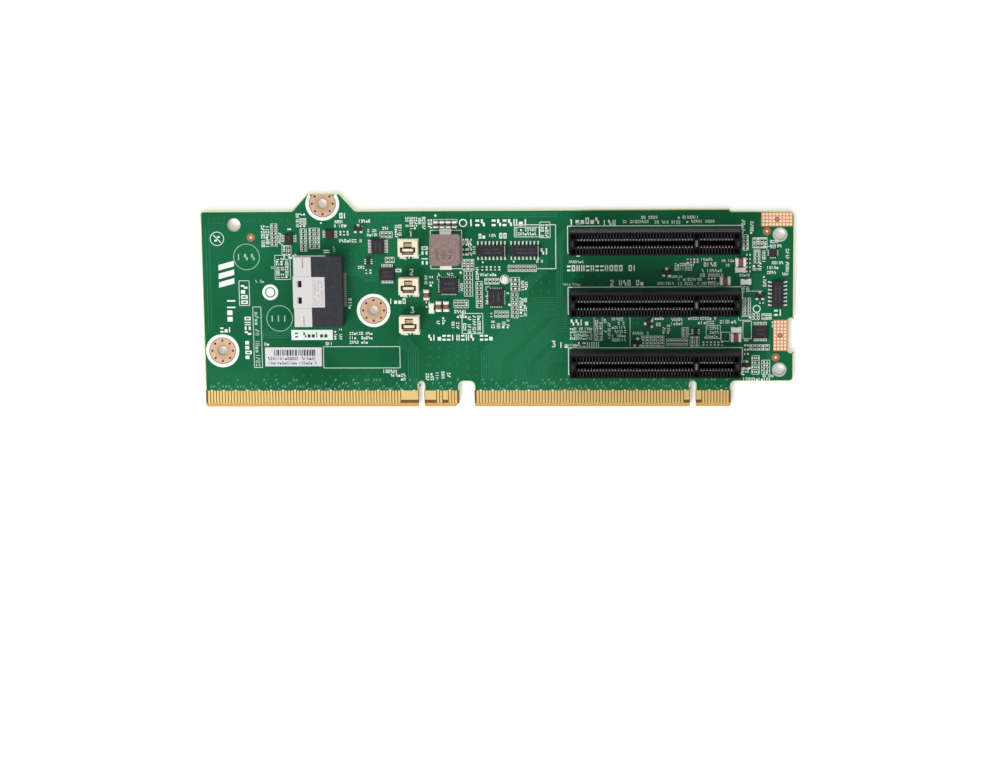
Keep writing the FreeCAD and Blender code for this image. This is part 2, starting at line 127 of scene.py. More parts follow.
def addLine(shape, start, end, width, low, high):
    dx, dy = end[0] - start[0], end[1] - start[1]
    size = math.hypot(dx, dy)
    nx, ny = -dy / size * width / 2, dx / size * width / 2
    addPrism(shape, [(start[0] - nx, start[1] - ny), (end[0] - nx, end[1] - ny),
                     (end[0] + nx, end[1] + ny), (start[0] + nx, start[1] + ny)], low, high)


def addPath(shape, route, width, low, high):
    for start, end in zip(route, route[1:]):
        addLine(shape, start, end, width, low, high)


def addFrame(shape, left, near, right, far, width, low, high):
    corners = [(left, near), (right, near), (right, far), (left, far)]
    addPath(shape, corners + corners[:1], width, low, high)


def addDisc(shape, x, y, radius, low, high, sides=24):
    turns = [2 * math.pi * (i + 0.5) / sides for i in range(sides)]
    addPrism(shape, [(x + radius * math.cos(a), y + radius * math.sin(a)) for a in turns], low, high)


def addRing(shape, x, y, inner, outer, low, high, start=0.0, sweep=360.0, steps=48, edge=None):
    # a flat ring, or a closed part of one when sweep is below a full turn; edge cuts its far side
    # straight at that distance from its middle
    whole = sweep >= 360.0
    rows = steps if whole else steps + 1
    first = len(shape["points"])
    for i in range(rows):
        a = math.radians(start + sweep * i / steps)
        reach = min(outer, edge / math.sin(a)) if edge and math.sin(a) > 0.0 else outer
        for radius, z in ((inner, low), (reach, low), (reach, high), (inner, high)):
            shape["points"].append((x + radius * math.cos(a), y + radius * math.sin(a), z))
    for i in range(steps):
        a, b = first + 4 * i, first + 4 * ((i + 1) % rows)
        for k in range(4):
            m = (k + 1) % 4
            shape["faces"].append((a + k, a + m, b + m, b + k))
    if not whole:
        last = first + 4 * (rows - 1)
        shape["faces"].append(tuple(first + k for k in (3, 2, 1, 0)))
        shape["faces"].append(tuple(last + k for k in range(4)))


def addStrip(shape, profile, across, width, quarter=False, middle=(0.0, 0.0)):
    # a bent strip: the profile is a closed list of (reach, height), pushed across its width
    first = len(shape["points"])
    count = len(profile)
    for side in (-0.5, 0.5):
        for reach, height in profile:
            x, y = across + side * width, reach
            if quarter:
                x, y = y, x
            shape["points"].append((middle[0] + x, middle[1] + y, height))
    shape["faces"].append(tuple(first + i for i in range(count)))
    shape["faces"].append(tuple(first + count + i for i in reversed(range(count))))
    for i in range(count):
        j = (i + 1) % count
        shape["faces"].append((first + i, first + count + i, first + count + j, first + j))


def thickRoute(route, thickness):
    # a closed profile of even thickness round an open route of (reach, height)
    upper, lower = [], []
    for i, (a, b) in enumerate(route):
        before = route[max(i - 1, 0)]
        after = route[min(i + 1, len(route) - 1)]
        dx, dy = after[0] - before[0], after[1] - before[1]
        size = math.hypot(dx, dy)
        nx, ny = -dy / size * thickness / 2, dx / size * thickness / 2
        upper.append((a + nx, b + ny))
        lower.append((a - nx, b - ny))
    return upper + lower[::-1]


def offsetRoute(route, gap):
    # the same route moved sideways by an even gap, its bends kept square
    ways = []
    for start, end in zip(route, route[1:]):
        size = math.hypot(end[0] - start[0], end[1] - start[1])
        ways.append((-(end[1] - start[1]) / size, (end[0] - start[0]) / size))
    moved = []
    for i, (x, y) in enumerate(route):
        before, after = ways[max(i - 1, 0)], ways[min(i, len(ways) - 1)]
        spread = 1.0 + before[0] * after[0] + before[1] * after[1]
        wayX, wayY = before[0] + after[0], before[1] + after[1]
        moved.append((x + gap * wayX / spread, y + gap * wayY / spread))
    return moved


def evenly(count, pitch):
    # offsets of an even row from its own middle
    return [(i - (count - 1) / 2) * pitch for i in range(count)]


# plain marks stand where small print would be: posts, blocks and hollow blocks, and no lettering;
# step and width are shares of a mark's height
markSizes = {"step": 0.78, "width": 0.56, "blankShare": 0.08}
markBars = [
    [(0.1, 0.0, 0.42, 1.0)],
    [(0.0, 0.0, 0.3, 1.0), (0.7, 0.0, 1.0, 1.0), (0.3, 0.0, 0.7, 0.2), (0.3, 0.8, 0.7, 1.0)],
    [(0.0, 0.0, 1.0, 0.3), (0.0, 0.65, 1.0, 0.95)],
    [(0.0, 0.0, 0.3, 1.0), (0.65, 0.0, 0.95, 1.0)],
    [(0.0, 0.0, 1.0, 0.62)],
    [(0.0, 0.45, 0.55, 1.0), (0.5, 0.0, 1.0, 0.5)],
]
markDraw = random.Random(7)


def addMarks(shape, x, y, length, height, low, high, upright=False):
    step, width = height * markSizes["step"], height * markSizes["width"]
    for i in range(max(1, int(length / step))):
        if markDraw.random() < markSizes["blankShare"]:
            continue
        for a, b, c, d in markDraw.choice(markBars):
            a, b, c, d = i * step + a * width, b * height, i * step + c * width, d * height
            if upright:
                a, b, c, d = b, a, d, c
            addSpan(shape, x + a, y + b, x + c, y + d, low, high)


# plain strokes for the place numbers, as shares of a number's width and height
plainNumbers = {
    1: [(0.15, 0.8), (0.5, 1.0), (0.5, 0.0)],
    2: [(0.0, 0.85), (0.3, 1.0), (0.7, 1.0), (1.0, 0.75), (0.0, 0.0), (1.0, 0.0)],
    3: [(0.0, 1.0), (1.0, 1.0), (0.45, 0.58), (1.0, 0.4), (0.9, 0.08), (0.5, 0.0), (0.0, 0.12)],
}
numberSizes = {"height": 1.9, "widthShare": 0.55, "stroke": 0.36}


def addNumber(shape, number, x, y):
    height = numberSizes["height"]
    width = height * numberSizes["widthShare"]
    route = [(x + a * width, y + b * height) for a, b in plainNumbers[number]]
    addPath(shape, route, numberSizes["stroke"], *printLayer)


def addObject(name, data):
    added = bpy.data.objects.new(name, data)
    bpy.context.scene.collection.objects.link(added)
    return added


def makePiece(name, shape, look, bevel=0.0, segments=2):
    mesh = bpy.data.meshes.new(name)
    mesh.from_pydata([place(*point) for point in shape["points"]], [], shape["faces"])
    mesh.validate()
    recalcOutward(mesh)
    mesh.materials.append(finish[look])
    piece = addObject(name, mesh)
    if bevel:
        edge = piece.modifiers.new("softEdge", "BEVEL")
        edge.width = bevel * mm
        edge.segments = segments
        edge.limit_method = "ANGLE"
    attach(piece, "root")
    return piece


def recalcOutward(mesh):
    work = bmesh.new()
    work.from_mesh(mesh)
    bmesh.ops.recalc_face_normals(work, faces=work.faces)
    work.to_mesh(mesh)
    work.free()


# finishes: every one is a plain shader fed by soft patches and noise
def feed(tree, node, sockets):
    # each input takes a value, or a link from another node
    for key, value in sockets.items():
        if isinstance(value, bpy.types.NodeSocket):
            tree.links.new(value, node.inputs[key])
        else:
            node.inputs[key].default_value = value


def addNode(tree, kind, sockets, **settings):
    node = tree.nodes.new(kind)
    for key, value in settings.items():
        setattr(node, key, value)
    feed(tree, node, sockets)
    return node.outputs


def startFinish(name, roughness, metallic=0.0, specular=0.5):
    material = bpy.data.materials.new(name)
    material.use_nodes = True
    tree = material.node_tree
    shader = tree.nodes["Principled BSDF"]
    feed(tree, shader, {"Roughness": roughness, "Metallic": metallic, "Specular IOR Level": specular})
    return material, tree, shader


def surfacePlace(tree):
    return addNode(tree, "ShaderNodeTexCoord", {})["Object"]


def noiseField(tree, scale, detail=3.0, rough=0.6, stretch=None):
    where = surfacePlace(tree)
    if stretch:
        where = addNode(tree, "ShaderNodeMapping", {"Vector": where, "Scale": stretch})["Vector"]
    sockets = {"Vector": where, "Scale": scale, "Detail": detail, "Roughness": rough}
    return addNode(tree, "ShaderNodeTexNoise", sockets)["Fac"]


def remap(tree, value, newLow=0.0, newHigh=1.0, low=0.3, high=0.7):
    # noise keeps near its middle, so its inner range is spread over the new one
    sockets = {"Value": value, "From Min": low, "From Max": high, "To Min": newLow, "To Max": newHigh}
    return addNode(tree, "ShaderNodeMapRange", sockets)["Result"]


def blendColours(tree, factor, first, second):
    # inputs 6 and 7 and output 2 are the mix node's colours
    colours = [(*value, 1.0) if isinstance(value, tuple) else value for value in (first, second)]
    sockets = {"Factor": factor, 6: colours[0], 7: colours[1]}
    return addNode(tree, "ShaderNodeMix", sockets, data_type="RGBA")[2]


def bumpFrom(tree, height, strength, depth):
    sockets = {"Height": height, "Strength": strength, "Distance": depth}
    return addNode(tree, "ShaderNodeBump", sockets)["Normal"]


def calculate(tree, operation, *values):
    return addNode(tree, "ShaderNodeMath", dict(enumerate(values)), operation=operation)["Value"]


def partsOf(tree, vector):
    return addNode(tree, "ShaderNodeSeparateXYZ", {"Vector": vector})


mottle = {"roughnessSpread": 0.06, "grainDetail": 2.0, "grainDepth": 0.00005}


def mottledFinish(name, first, second, scale, roughness, metallic=0.0, specular=0.5, grain=0.0,
                  grainScale=4000.0, stretch=None):
    # two close colours in soft patches, roughness that varies with them, and a fine grain
    material, tree, shader = startFinish(name, roughness, metallic, specular)
    field = noiseField(tree, scale, stretch=stretch)
    spread = mottle["roughnessSpread"]
    feed(tree, shader, {
        "Base Color": blendColours(tree, remap(tree, field), first, second),
        "Roughness": remap(tree, field, roughness - spread, roughness + spread),
    })
    if grain:
        height = noiseField(tree, grainScale, detail=mottle["grainDetail"], stretch=stretch)
        feed(tree, shader, {"Normal": bumpFrom(tree, height, grain, mottle["grainDepth"])})
    return material


boardLook = {
    "mask": (0.002, 0.090, 0.031), "maskLight": (0.007, 0.132, 0.051), "patches": 22.0,
    "dots": (0.002, 0.058, 0.021), "dotScale": 620.0, "dotSize": 0.20, "dotFade": 0.12,
    "dotStrength": 0.55, "laminate": (0.66, 0.40, 0.13), "laminateDark": (0.48, 0.27, 0.08),
    "fibres": 900.0, "fibreStretch": (1.0, 6.0, 1.0), "edge": (0.52, 0.57, 0.27),
    "edgeDark": (0.60, 0.54, 0.27), "fingerGap": (0.17, 0.085, 0.022), "chamfer": 1.3,
    "roughness": (0.27, 0.40), "specular": 0.10, "smears": 120.0,
    "grainScale": 1400.0, "grain": 0.10, "grainDepth": 0.00004,
}


def makeBoardFinish():
    # solder mask above the tabs, bare laminate on the tabs and on every cut edge
    look = boardLook
    material, tree, shader = startFinish("boardMask", look["roughness"][0], specular=look["specular"])
    patches = remap(tree, noiseField(tree, look["patches"]), low=0.35, high=0.65)
    mask = blendColours(tree, patches, look["mask"], look["maskLight"])
    dotSockets = {"Vector": surfacePlace(tree), "Scale": look["dotScale"], "Randomness": 0.0}
    distance = addNode(tree, "ShaderNodeTexVoronoi", dotSockets)["Distance"]
    dotEdge = look["dotSize"] + look["dotFade"]
    inDot = remap(tree, distance, look["dotStrength"], 0.0, look["dotSize"], dotEdge)
    mask = blendColours(tree, inDot, mask, look["dots"])
    fibre = remap(tree, noiseField(tree, look["fibres"], stretch=look["fibreStretch"]))
    bare = blendColours(tree, fibre, look["laminate"], look["laminateDark"])
    towardTop = partsOf(tree, surfacePlace(tree))["Y"]
    onChamfer = calculate(tree, "LESS_THAN", towardTop, place(0, look["chamfer"]).y)
    onTab = calculate(tree, "LESS_THAN", towardTop, place(0, board["maskEdge"]).y)
    bare = blendColours(tree, onChamfer, look["fingerGap"], bare)
    facing = partsOf(tree, addNode(tree, "ShaderNodeNewGeometry", {})["Normal"])
    onEdge = calculate(tree, "LESS_THAN", calculate(tree, "ABSOLUTE", facing["Z"]), 0.5)
    flat = blendColours(tree, onTab, mask, bare)
    edge = blendColours(tree, fibre, look["edge"], look["edgeDark"])
    colour = blendColours(tree, onEdge, flat, edge)
    roughness = remap(tree, noiseField(tree, look["smears"]), *look["roughness"])
    grain = noiseField(tree, look["grainScale"], detail=mottle["grainDetail"])
    normal = bumpFrom(tree, grain, look["grain"], look["grainDepth"])
    feed(tree, shader, {"Base Color": colour, "Roughness": roughness, "Normal": normal})
    return material


brushed = (1.0, 12.0, 1.0)      # how far a brushed grain is drawn out

# name, two colours, patch scale, roughness, metallic, specular, grain, and where they aren't plain
# the grain's own scale and its stretch
mottledLooks = {
    "trace": ("maskOverCopper", (0.020, 0.190, 0.092), (0.013, 0.155, 0.072), 60, 0.30, 0.0, 0.2, 0.0),
    "viaLight": ("maskOverVias", (0.130, 0.390, 0.250), (0.060, 0.280, 0.160), 60, 0.32, 0.0, 0.3, 0.0),
    # the darker mask is painted shade in the via wells, and the plain mask-coloured marks on the white
    # block
    "maskDark": ("maskDark", (0.004, 0.055, 0.026), (0.007, 0.075, 0.036), 60, 0.36, 0.0, 0.2, 0.0),
    "rim": ("bareRim", (0.60, 0.66, 0.36), (0.48, 0.55, 0.27), 900, 0.6, 0.0, 0.3, 0.0),
    "print": ("whitePrint", (0.83, 0.88, 0.84), (0.70, 0.79, 0.73), 300, 0.55, 0.0, 0.3, 0.0),
    "printFaint": ("faintPrint", (0.36, 0.55, 0.45), (0.26, 0.45, 0.35), 300, 0.55, 0.0, 0.3, 0.0),
    "gold": ("fingerGold", (0.77, 0.57, 0.225), (0.72, 0.485, 0.165), 500, 0.32, 0.45, 0.5, 0.12,
             1500, brushed),
    "landCopper": ("landCopper", (0.61, 0.42, 0.31), (0.54, 0.35, 0.24), 250, 0.40, 0.4, 0.5, 0.1),
    "landRim": ("landRim", (0.36, 0.15, 0.055), (0.28, 0.11, 0.040), 400, 0.45, 0.3, 0.5, 0.0),
    # the next finish is the brown of the hole linings, and also painted shade of the hole walls on the flat
    # rings round the bores
    "barrelAndWallShade": ("holeBarrelAndWallShade", (0.52, 0.36, 0.22), (0.38, 0.25, 0.15), 500, 0.42, 0.5, 0.5, 0.0),
    "collarGold": ("collarGold", (0.57, 0.40, 0.20), (0.46, 0.31, 0.14), 400, 0.40, 0.4, 0.5, 0.0),
    "guideRim": ("guideRim", (0.40, 0.50, 0.40), (0.30, 0.40, 0.31), 400, 0.45, 0.0, 0.4, 0.0),
    "padCopper": ("padCopper", (0.70, 0.26, 0.11), (0.60, 0.19, 0.075), 400, 0.42, 0.2, 0.5, 0.1),
    "solder": ("solder", (0.88, 0.88, 0.86), (0.76, 0.76, 0.74), 900, 0.30, 0.12, 0.5, 0.15),
    "paleSolder": ("paleSolder", (0.86, 0.77, 0.62), (0.82, 0.67, 0.47), 900, 0.38, 0.25, 0.5, 0.0),
    # near-black discs of painted shade inside the small via holes
    "viaHoleShade": ("viaHoleShade", (0.016, 0.010, 0.008), (0.040, 0.022, 0.016), 900, 0.6, 0.0, 0.2, 0.0),
    "black": ("slotPlastic", (0.004, 0.004, 0.004), (0.007, 0.006, 0.007), 400, 0.45, 0.0, 0.10, 0.10),
    "slotSide": ("slotSideSkin", (0.026, 0.024, 0.025), (0.036, 0.033, 0.035), 700, 0.62, 0.0, 0.2, 0.2),
    # the next two are the slot's own black plastic painted paler as the highlight on its rib tops and key
    # bar
    "slotRibHighlight": ("slotRibHighlight", (0.017, 0.015, 0.015), (0.028, 0.025, 0.025), 900, 0.5, 0.0, 0.2, 0.0),
    "keyHighlight": ("slotKeyHighlight", (0.10, 0.095, 0.095), (0.15, 0.14, 0.14), 900, 0.5, 0.0, 0.3, 0.0),
    # dark brown painted shade inside the cream header sockets
    "recessShade": ("headerRecessShade", (0.026, 0.016, 0.010), (0.045, 0.030, 0.019), 900, 0.6, 0.0, 0.2, 0.0),
    "spring": ("springMetal", (0.62, 0.59, 0.56), (0.46, 0.43, 0.40), 900, 0.36, 0.6, 0.5, 0.0),
    "shell": ("portShell", (0.69, 0.67, 0.66), (0.61, 0.585, 0.575), 500, 0.34, 0.5, 0.5, 0.06,
              1500, brushed),
    # grey for stamped marks, for painted shade along the port shell's creases and for the painted highlight
    # on the twin chips' end bevel
    "greyMarkShadeHighlight": ("greyMarkShadeHighlight", (0.34, 0.32, 0.33), (0.46, 0.43, 0.44), 700, 0.5, 0.3, 0.5, 0.0),
    "portBlack": ("portPlastic", (0.019, 0.020, 0.027), (0.030, 0.031, 0.039), 500, 0.48, 0.0, 0.2, 0.12),
    "cream": ("headerPlastic", (0.82, 0.74, 0.60), (0.75, 0.66, 0.51), 700, 0.42, 0.0, 0.3, 0.08),
    "brassPlate": ("headerBrass", (0.56, 0.42, 0.24), (0.44, 0.31, 0.16), 700, 0.38, 0.4, 0.5, 0.0),
    "powder": ("inductorPowder", (0.285, 0.208, 0.184), (0.19, 0.13, 0.115), 1500, 0.66, 0.0, 0.25, 0.55,
               5000),
    "powderMark": ("inductorMark", (0.095, 0.062, 0.055), (0.14, 0.095, 0.085), 1500, 0.7, 0.0, 0.2, 0.0),
    "epoxy": ("chipEpoxy", (0.009, 0.008, 0.010), (0.016, 0.014, 0.017), 800, 0.48, 0.0, 0.3, 0.15),
    "epoxyMark": ("chipMark", (0.050, 0.046, 0.052), (0.080, 0.074, 0.082), 1200, 0.6, 0.0, 0.3, 0.0),
    "ceramic": ("capacitorCeramic", (0.26, 0.088, 0.046), (0.19, 0.062, 0.032), 1500, 0.36, 0.0, 0.5, 0.0),
    "ceramicDark": ("smallCapacitor", (0.13, 0.070, 0.045), (0.09, 0.048, 0.03), 1500, 0.38, 0.0, 0.5, 0.0),
    "fuseCream": ("fuseCeramic", (0.88, 0.87, 0.80), (0.79, 0.77, 0.69), 1500, 0.4, 0.0, 0.5, 0.0),
    "resistor": ("resistorGlaze", (0.014, 0.012, 0.014), (0.026, 0.023, 0.025), 1500, 0.38, 0.0, 0.3, 0.0),
    "tin": ("tinPlate", (0.84, 0.83, 0.80), (0.72, 0.71, 0.68), 1200, 0.32, 0.45, 0.5, 0.1),
    "paper": ("labelPaper", (0.655, 0.65, 0.67), (0.615, 0.61, 0.635), 300, 0.6, 0.0, 0.3, 0.1),
    "ink": ("labelInk", (0.009, 0.007, 0.011), (0.026, 0.020, 0.028), 900, 0.6, 0.0, 0.5, 0.0),
}
finish = {key: mottledFinish(*look) for key, look in mottledLooks.items()}
finish["board"] = makeBoardFinish()
print("finishes ready:", len(finish))


# the finish of each carried-over part, and of the rest by how their names start and end
nodeFinish = {
    "board": "board", "ground_pads": "padCopper", "port_shell": "shell", "port_housing": "portBlack",
    "port_contacts": "spring", "inductor_body": "powder", "inductor_terminals": "tin",
    "large_capacitor_bodies": "ceramic", "small_capacitor_bodies": "ceramicDark",
    "fuse_bodies": "fuseCream", "barcode_label": "paper", "fuse_ends": "solder",
    "large_capacitor_ends": "solder", "small_capacitor_ends": "solder", "transistor_legs": "solder",
}
groupFinish = [
    ("left_fingers", "", "gold"), ("right_fingers", "", "gold"),
    ("slot_", "housing", "black"), ("slot_", "", "spring"),
    ("header_", "housing", "cream"), ("header_", "", "tin"),
    ("", "_legs", "tin"), ("", "", "epoxy"),
]


def finishFor(name):
    if name in nodeFinish:
        return nodeFinish[name]
    for start, end, look in groupFinish:
        if name.startswith(start) and name.endswith(end):
            return look


for nodeName, node in nodes.items():
    node.data.materials.clear()
    node.data.materials.append(finish[finishFor(nodeName)])
print("carried-over parts dressed")

# these three gather from every section below and become pieces near the end
whitePrint, faintPrint, solderPads = newShapes(3)


# mounting and guide holes, with copper lands on both sides
holes = {
    "land": 4.25, "hole": 1.85, "lining": 0.3, "liningGap": 0.005, "landThickness": 0.035,
    "wallShadeEdge": 0.34, "wallShadeRise": 0.008, "brightCollar": 1.05, "brightRise": 0.005, "landRim": 0.17,
    "landRimDrop": 0.01, "via": 0.38, "viaRim": 0.14, "viaRise": 0.015, "viaCircle": 3.45, "vias": 8,
    "dotRise": 0.008, "dotSink": 0.001, "ringInner": 4.5, "ringOuter": 5.6,
    "earEdge": 3.25, "earRim": (129.5, 281.0), "earRing": (145.0, 250.0), "earNoVia": 2,
    "guideLining": 0.14, "guideRim": 0.4, "guideRimRise": 0.012,
    # x, y and kind; the board's edge cuts the land of the hole in the ear
    "screws": [(40.8, 68.3, "ear"), (6.15, 19.1, "plain"), (57.1, 32.6, "plain")],
    # x, y, radius
    "guides": [(11.2, 61.4, 2.25), (191.4, 57.4, 2.0), (191.4, 12.4, 2.0)],
}
wholeTurn = (0.0, 360.0)


def addLandVias(lands, holeShadeDots, x, y, onEar):
    # a circle of small vias through each land, without the one past the ear's edge; each via's hole is a
    # near-black disc of painted shade
    thick, via = holes["landThickness"], holes["via"]
    rise, sink = holes["dotRise"], holes["dotSink"]
    for i in range(holes["vias"]):
        if onEar and i == holes["earNoVia"]:
            continue
        a = 2 * math.pi * i / holes["vias"]
        viaX, viaY = x + holes["viaCircle"] * math.cos(a), y + holes["viaCircle"] * math.sin(a)
        addRing(lands, viaX, viaY, via, via + holes["viaRim"], thick, thick + holes["viaRise"], steps=16)
        addDisc(holeShadeDots, viaX, viaY, via, thick - sink, thick + rise, sides=14)
        addDisc(holeShadeDots, viaX, viaY, via, underside - thick - rise, underside - thick + sink, sides=14)


def makeHoles():
    lands, holeShadeDots, rims, barrels, wallShadeRings, bright, guideRims = newShapes(7)
    hole, land = holes["hole"], holes["land"]
    bore, wallShadeEdge, brightEdge = hole - holes["lining"], hole + holes["wallShadeEdge"], hole + holes["brightCollar"]
    rise, brightRise = holes["wallShadeRise"], holes["brightRise"]
    for x, y, kind in holes["screws"]:
        onEar = kind == "ear"
        edge = holes["earEdge"] if onEar else None
        rimArc = holes["earRim"] if onEar else wholeTurn
        ringArc = holes["earRing"] if onEar else wholeTurn
        for low, high in (onTop(holes["landThickness"]), onUnderside(holes["landThickness"])):
            addRing(lands, x, y, bore, land, low, high, edge=edge)
            addRing(rims, x, y, land, land + holes["landRim"], low, high - holes["landRimDrop"], *rimArc)
            # a flat brown ring round each bore is painted shade of the hole's wall
            addRing(wallShadeRings, x, y, bore, wallShadeEdge, low - rise, high + rise)
            addRing(bright, x, y, wallShadeEdge, brightEdge, low - brightRise, high + brightRise)
        # the lining's top face reads as part of the same painted wall shade
        addRing(barrels, x, y, bore, hole - holes["liningGap"], underside, 0.0)
        addLandVias(lands, holeShadeDots, x, y, onEar)
        addRing(whitePrint, x, y, holes["ringInner"], holes["ringOuter"], *printLayer, *ringArc)
        addRing(whitePrint, x, y, holes["ringInner"], holes["ringOuter"], *printBelow, *ringArc)
    for x, y, radius in holes["guides"]:
        inner = radius - holes["guideLining"]
        addRing(barrels, x, y, inner, radius - holes["liningGap"], underside, 0.0)
        if x > board["length"] / 2:
            addRing(guideRims, x, y, inner, radius + holes["guideRim"], *onTop(holes["guideRimRise"]))
    makePiece("holeLands", lands, "landCopper")
    makePiece("holeBarrels", barrels, "barrelAndWallShade")
    makePiece("holeWallShade", wallShadeRings, "barrelAndWallShade")
    makePiece("brightCollars", bright, "collarGold")
    makePiece("guideRims", guideRims, "guideRim")
    makePiece("landVias", holeShadeDots, "viaHoleShade")
    makePiece("landRims", rims, "landRim")


makeHoles()
print("holes plated")


# bare laminate shows as a thin pale rim along the board's outline
edgeRim = {
    "width": 0.34, "thickness": 0.008, "holeGap": 3.0, "openingGap": 1.0,
    "wallTilt": 0.3, "levelWithin": 1e-5,    # how upright a wall and how level its upper edge have to be
    "openings": ["slot_1_housing", "slot_2_housing", "slot_3_housing", "port_shell", "port_housing"],
}


def makeEdgeRims():
    rims = newShape()
    mesh = nodes["board"].data
    sides = {}
    for polygon in mesh.polygons:
        if abs(polygon.normal.z) < edgeRim["wallTilt"]:
            for key in polygon.edge_keys:
                sides.setdefault(key, polygon.normal.copy())
    for (a, b), normal in sides.items():
        first, second = mesh.vertices[a].co, mesh.vertices[b].co
        if any(abs(point.z - boardHigh.z) > edgeRim["levelWithin"] for point in (first, second)):
            continue
        start, end = sheetSpot(first), sheetSpot(second)
        if nearOpening(start) or max(start[1], end[1]) < board["maskEdge"]:
            continue
        start, end = clipToMask(start, end), clipToMask(end, start)
        inX, inY = -normal.x * edgeRim["width"], -normal.y * edgeRim["width"]
        addPrism(rims, [start, end, (end[0] + inX, end[1] + inY), (start[0] + inX, start[1] + inY)],
                 *onTop(edgeRim["thickness"]))
    makePiece("edgeRims", rims, "rim")


def clipToMask(spot, other):
    # a rim that starts on a bare tab begins at the mask's edge instead
    if spot[1] >= board["maskEdge"]:
        return spot
    share = (board["maskEdge"] - spot[1]) / (other[1] - spot[1])
    return (spot[0] + share * (other[0] - spot[0]), board["maskEdge"])


def nearOpening(spot):
    # holes, and the small peg openings under the connectors, keep their own edges
    for x, y, kind in holes["screws"] + holes["guides"]:
        if math.hypot(spot[0] - x, spot[1] - y) < edgeRim["holeGap"]:
            return True
    gap = edgeRim["openingGap"]
    for node in edgeRim["openings"]:
        left, near, low, right, far, top = sheetBox(node)
        if left - gap < spot[0] < right + gap and near - gap < spot[1] < far + gap:
            return True
    return False


makeEdgeRims()
print("edge rims laid")


# card slots: springs in place of the plain contacts, soldered tails below
slots = {
    "names": ["slot_1", "slot_2", "slot_3"],
    "pitch": 1.0, "endMargin": 3.0, "beforeKey": 38, "afterKey": 11, "keyStep": 3.0,
    # a spring from its root on the cavity floor, up a long lean, to a tip curled back from the groove
    "springRoute": [(2.85, 2.95), (2.75, 4.4), (1.6, 7.5), (0.90, 9.2), (0.84, 9.5), (0.96, 9.9),
                    (1.2, 10.25), (1.5, 10.4)],
    "springWidth": 0.32, "springThickness": 0.16,
    # tails stand in two staggered rows each side; a tail's pad is two radii and a thickness
    "tailRows": (3.25, 2.0), "tail": 0.62, "tailSink": 0.4, "tailWidth": 0.32, "tailPad": (0.1, 0.44, 0.06),
    # ribs and bars on the top face, painted paler than the black plastic as their highlight: length and
    # width
    "rib": (0.26, 2.1), "keyHighlight": (0.7, 2.0), "endBar": (0.8, 1.6), "rise": 0.012,
    "ribAt": 2.1, "endBarAt": 1.0,
    "skin": 0.03, "skinEnds": 0.4, "skinFoot": 0.35, "skinTop": 0.45,
    "printGap": 0.75, "printLine": 0.26, "printFoot": 3.4, "printBelowLine": 0.2,
    # small blocks by the first contacts: how far from the slot's side, then length and width
    "blockAt": 2.7, "nearBlock": (-1.6, 1.3, 0.5), "farBlock": (1.5, 1.3, 0.4),
}


def slotContactPlaces(left):
    before = [left + slots["endMargin"] + i * slots["pitch"] for i in range(slots["beforeKey"])]
    start = before[-1] + slots["keyStep"]
    return before + [start + i * slots["pitch"] for i in range(slots["afterKey"])]


def addSlotContacts(springs, tails, pads, places, row):
    inner, outer, thick = slots["tailPad"]
    spring = thickRoute(slots["springRoute"], slots["springThickness"])
    for count, x in enumerate(places):
        for side in (-1, 1):
            profile = [(side * reach, height) for reach, height in spring]
            addStrip(springs, profile, x, slots["springWidth"], middle=(0.0, row))
            y = row + side * slots["tailRows"][count % 2]
            addBox(tails, x, y, slots["tailWidth"], slots["tailWidth"],
                   underside - slots["tail"], underside + slots["tailSink"])
            addRing(pads, x, y, inner, outer, *onUnderside(thick), steps=12)


def addSlotRibs(ribs, bars, places, left, right, row, top):
    # a rib between every two contacts, a bar at the key, and a short bar at each end, all painted paler as
    # highlight
    key = slots["beforeKey"]
    high = top + slots["rise"]
    for x in places[:key - 1] + places[key:-1]:
        for side in (-1, 1):
            addBox(ribs, x + slots["pitch"] / 2, row + side * slots["ribAt"], *slots["rib"], top, high)
    addBox(bars, places[key - 1] + slots["keyStep"] / 2, row, *slots["keyHighlight"], top, high)
    for x in (left + slots["endBarAt"], right - slots["endBarAt"]):
        addBox(ribs, x, row, *slots["endBar"], top, high)


def printSlotOutline(left, near, right, far):
    gap, foot = slots["printGap"], slots["printFoot"]
    x1, y1, x2, y2 = left - gap, near - gap, right + gap, far + gap
    outline = [(x1 + foot, y1), (x1, y1), (x1, y2), (x2, y2), (x2, far - foot)]
    addPath(whitePrint, outline, slots["printLine"], *printLayer)
    addFrame(faintPrint, x1, y1, x2, y2, slots["printBelowLine"], *printBelow)
    for start, (away, length, width) in ((near, slots["nearBlock"]), (far, slots["farBlock"])):
        addBox(whitePrint, left + slots["blockAt"], start + away, length, width, *printLayer)


def makeSlots():
    for name in slots["names"]:
        left, near, low, right, far, top = sheetBox(name + "_housing")
        row = (near + far) / 2
        places = slotContactPlaces(left)
        springs, tails, pads, ribs, bars, skins = newShapes(6)
        addSlotContacts(springs, tails, pads, places, row)
        addSlotRibs(ribs, bars, places, left, right, row, top)
        for low, high in ((far, far + slots["skin"]), (near - slots["skin"], near)):
            addSpan(skins, left + slots["skinEnds"], low, right - slots["skinEnds"], high,
                    slots["skinFoot"], top - slots["skinTop"])
        printSlotOutline(left, near, right, far)
        makePiece(name + "Ribs", ribs, "slotRibHighlight")
        makePiece(name + "KeyHighlight", bars, "keyHighlight", bevel=0.005)
        springPiece = makePiece(name + "Springs", springs, "spring")
        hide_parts(name + "_contacts")
        makePiece(name + "Tails", tails, "solder", bevel=0.06)
        makePiece(name + "TailPads", pads, "solder")
        makePiece(name + "SideSkins", skins, "slotSide", bevel=0.01)


makeSlots()
print("slots fitted with springs and tails")


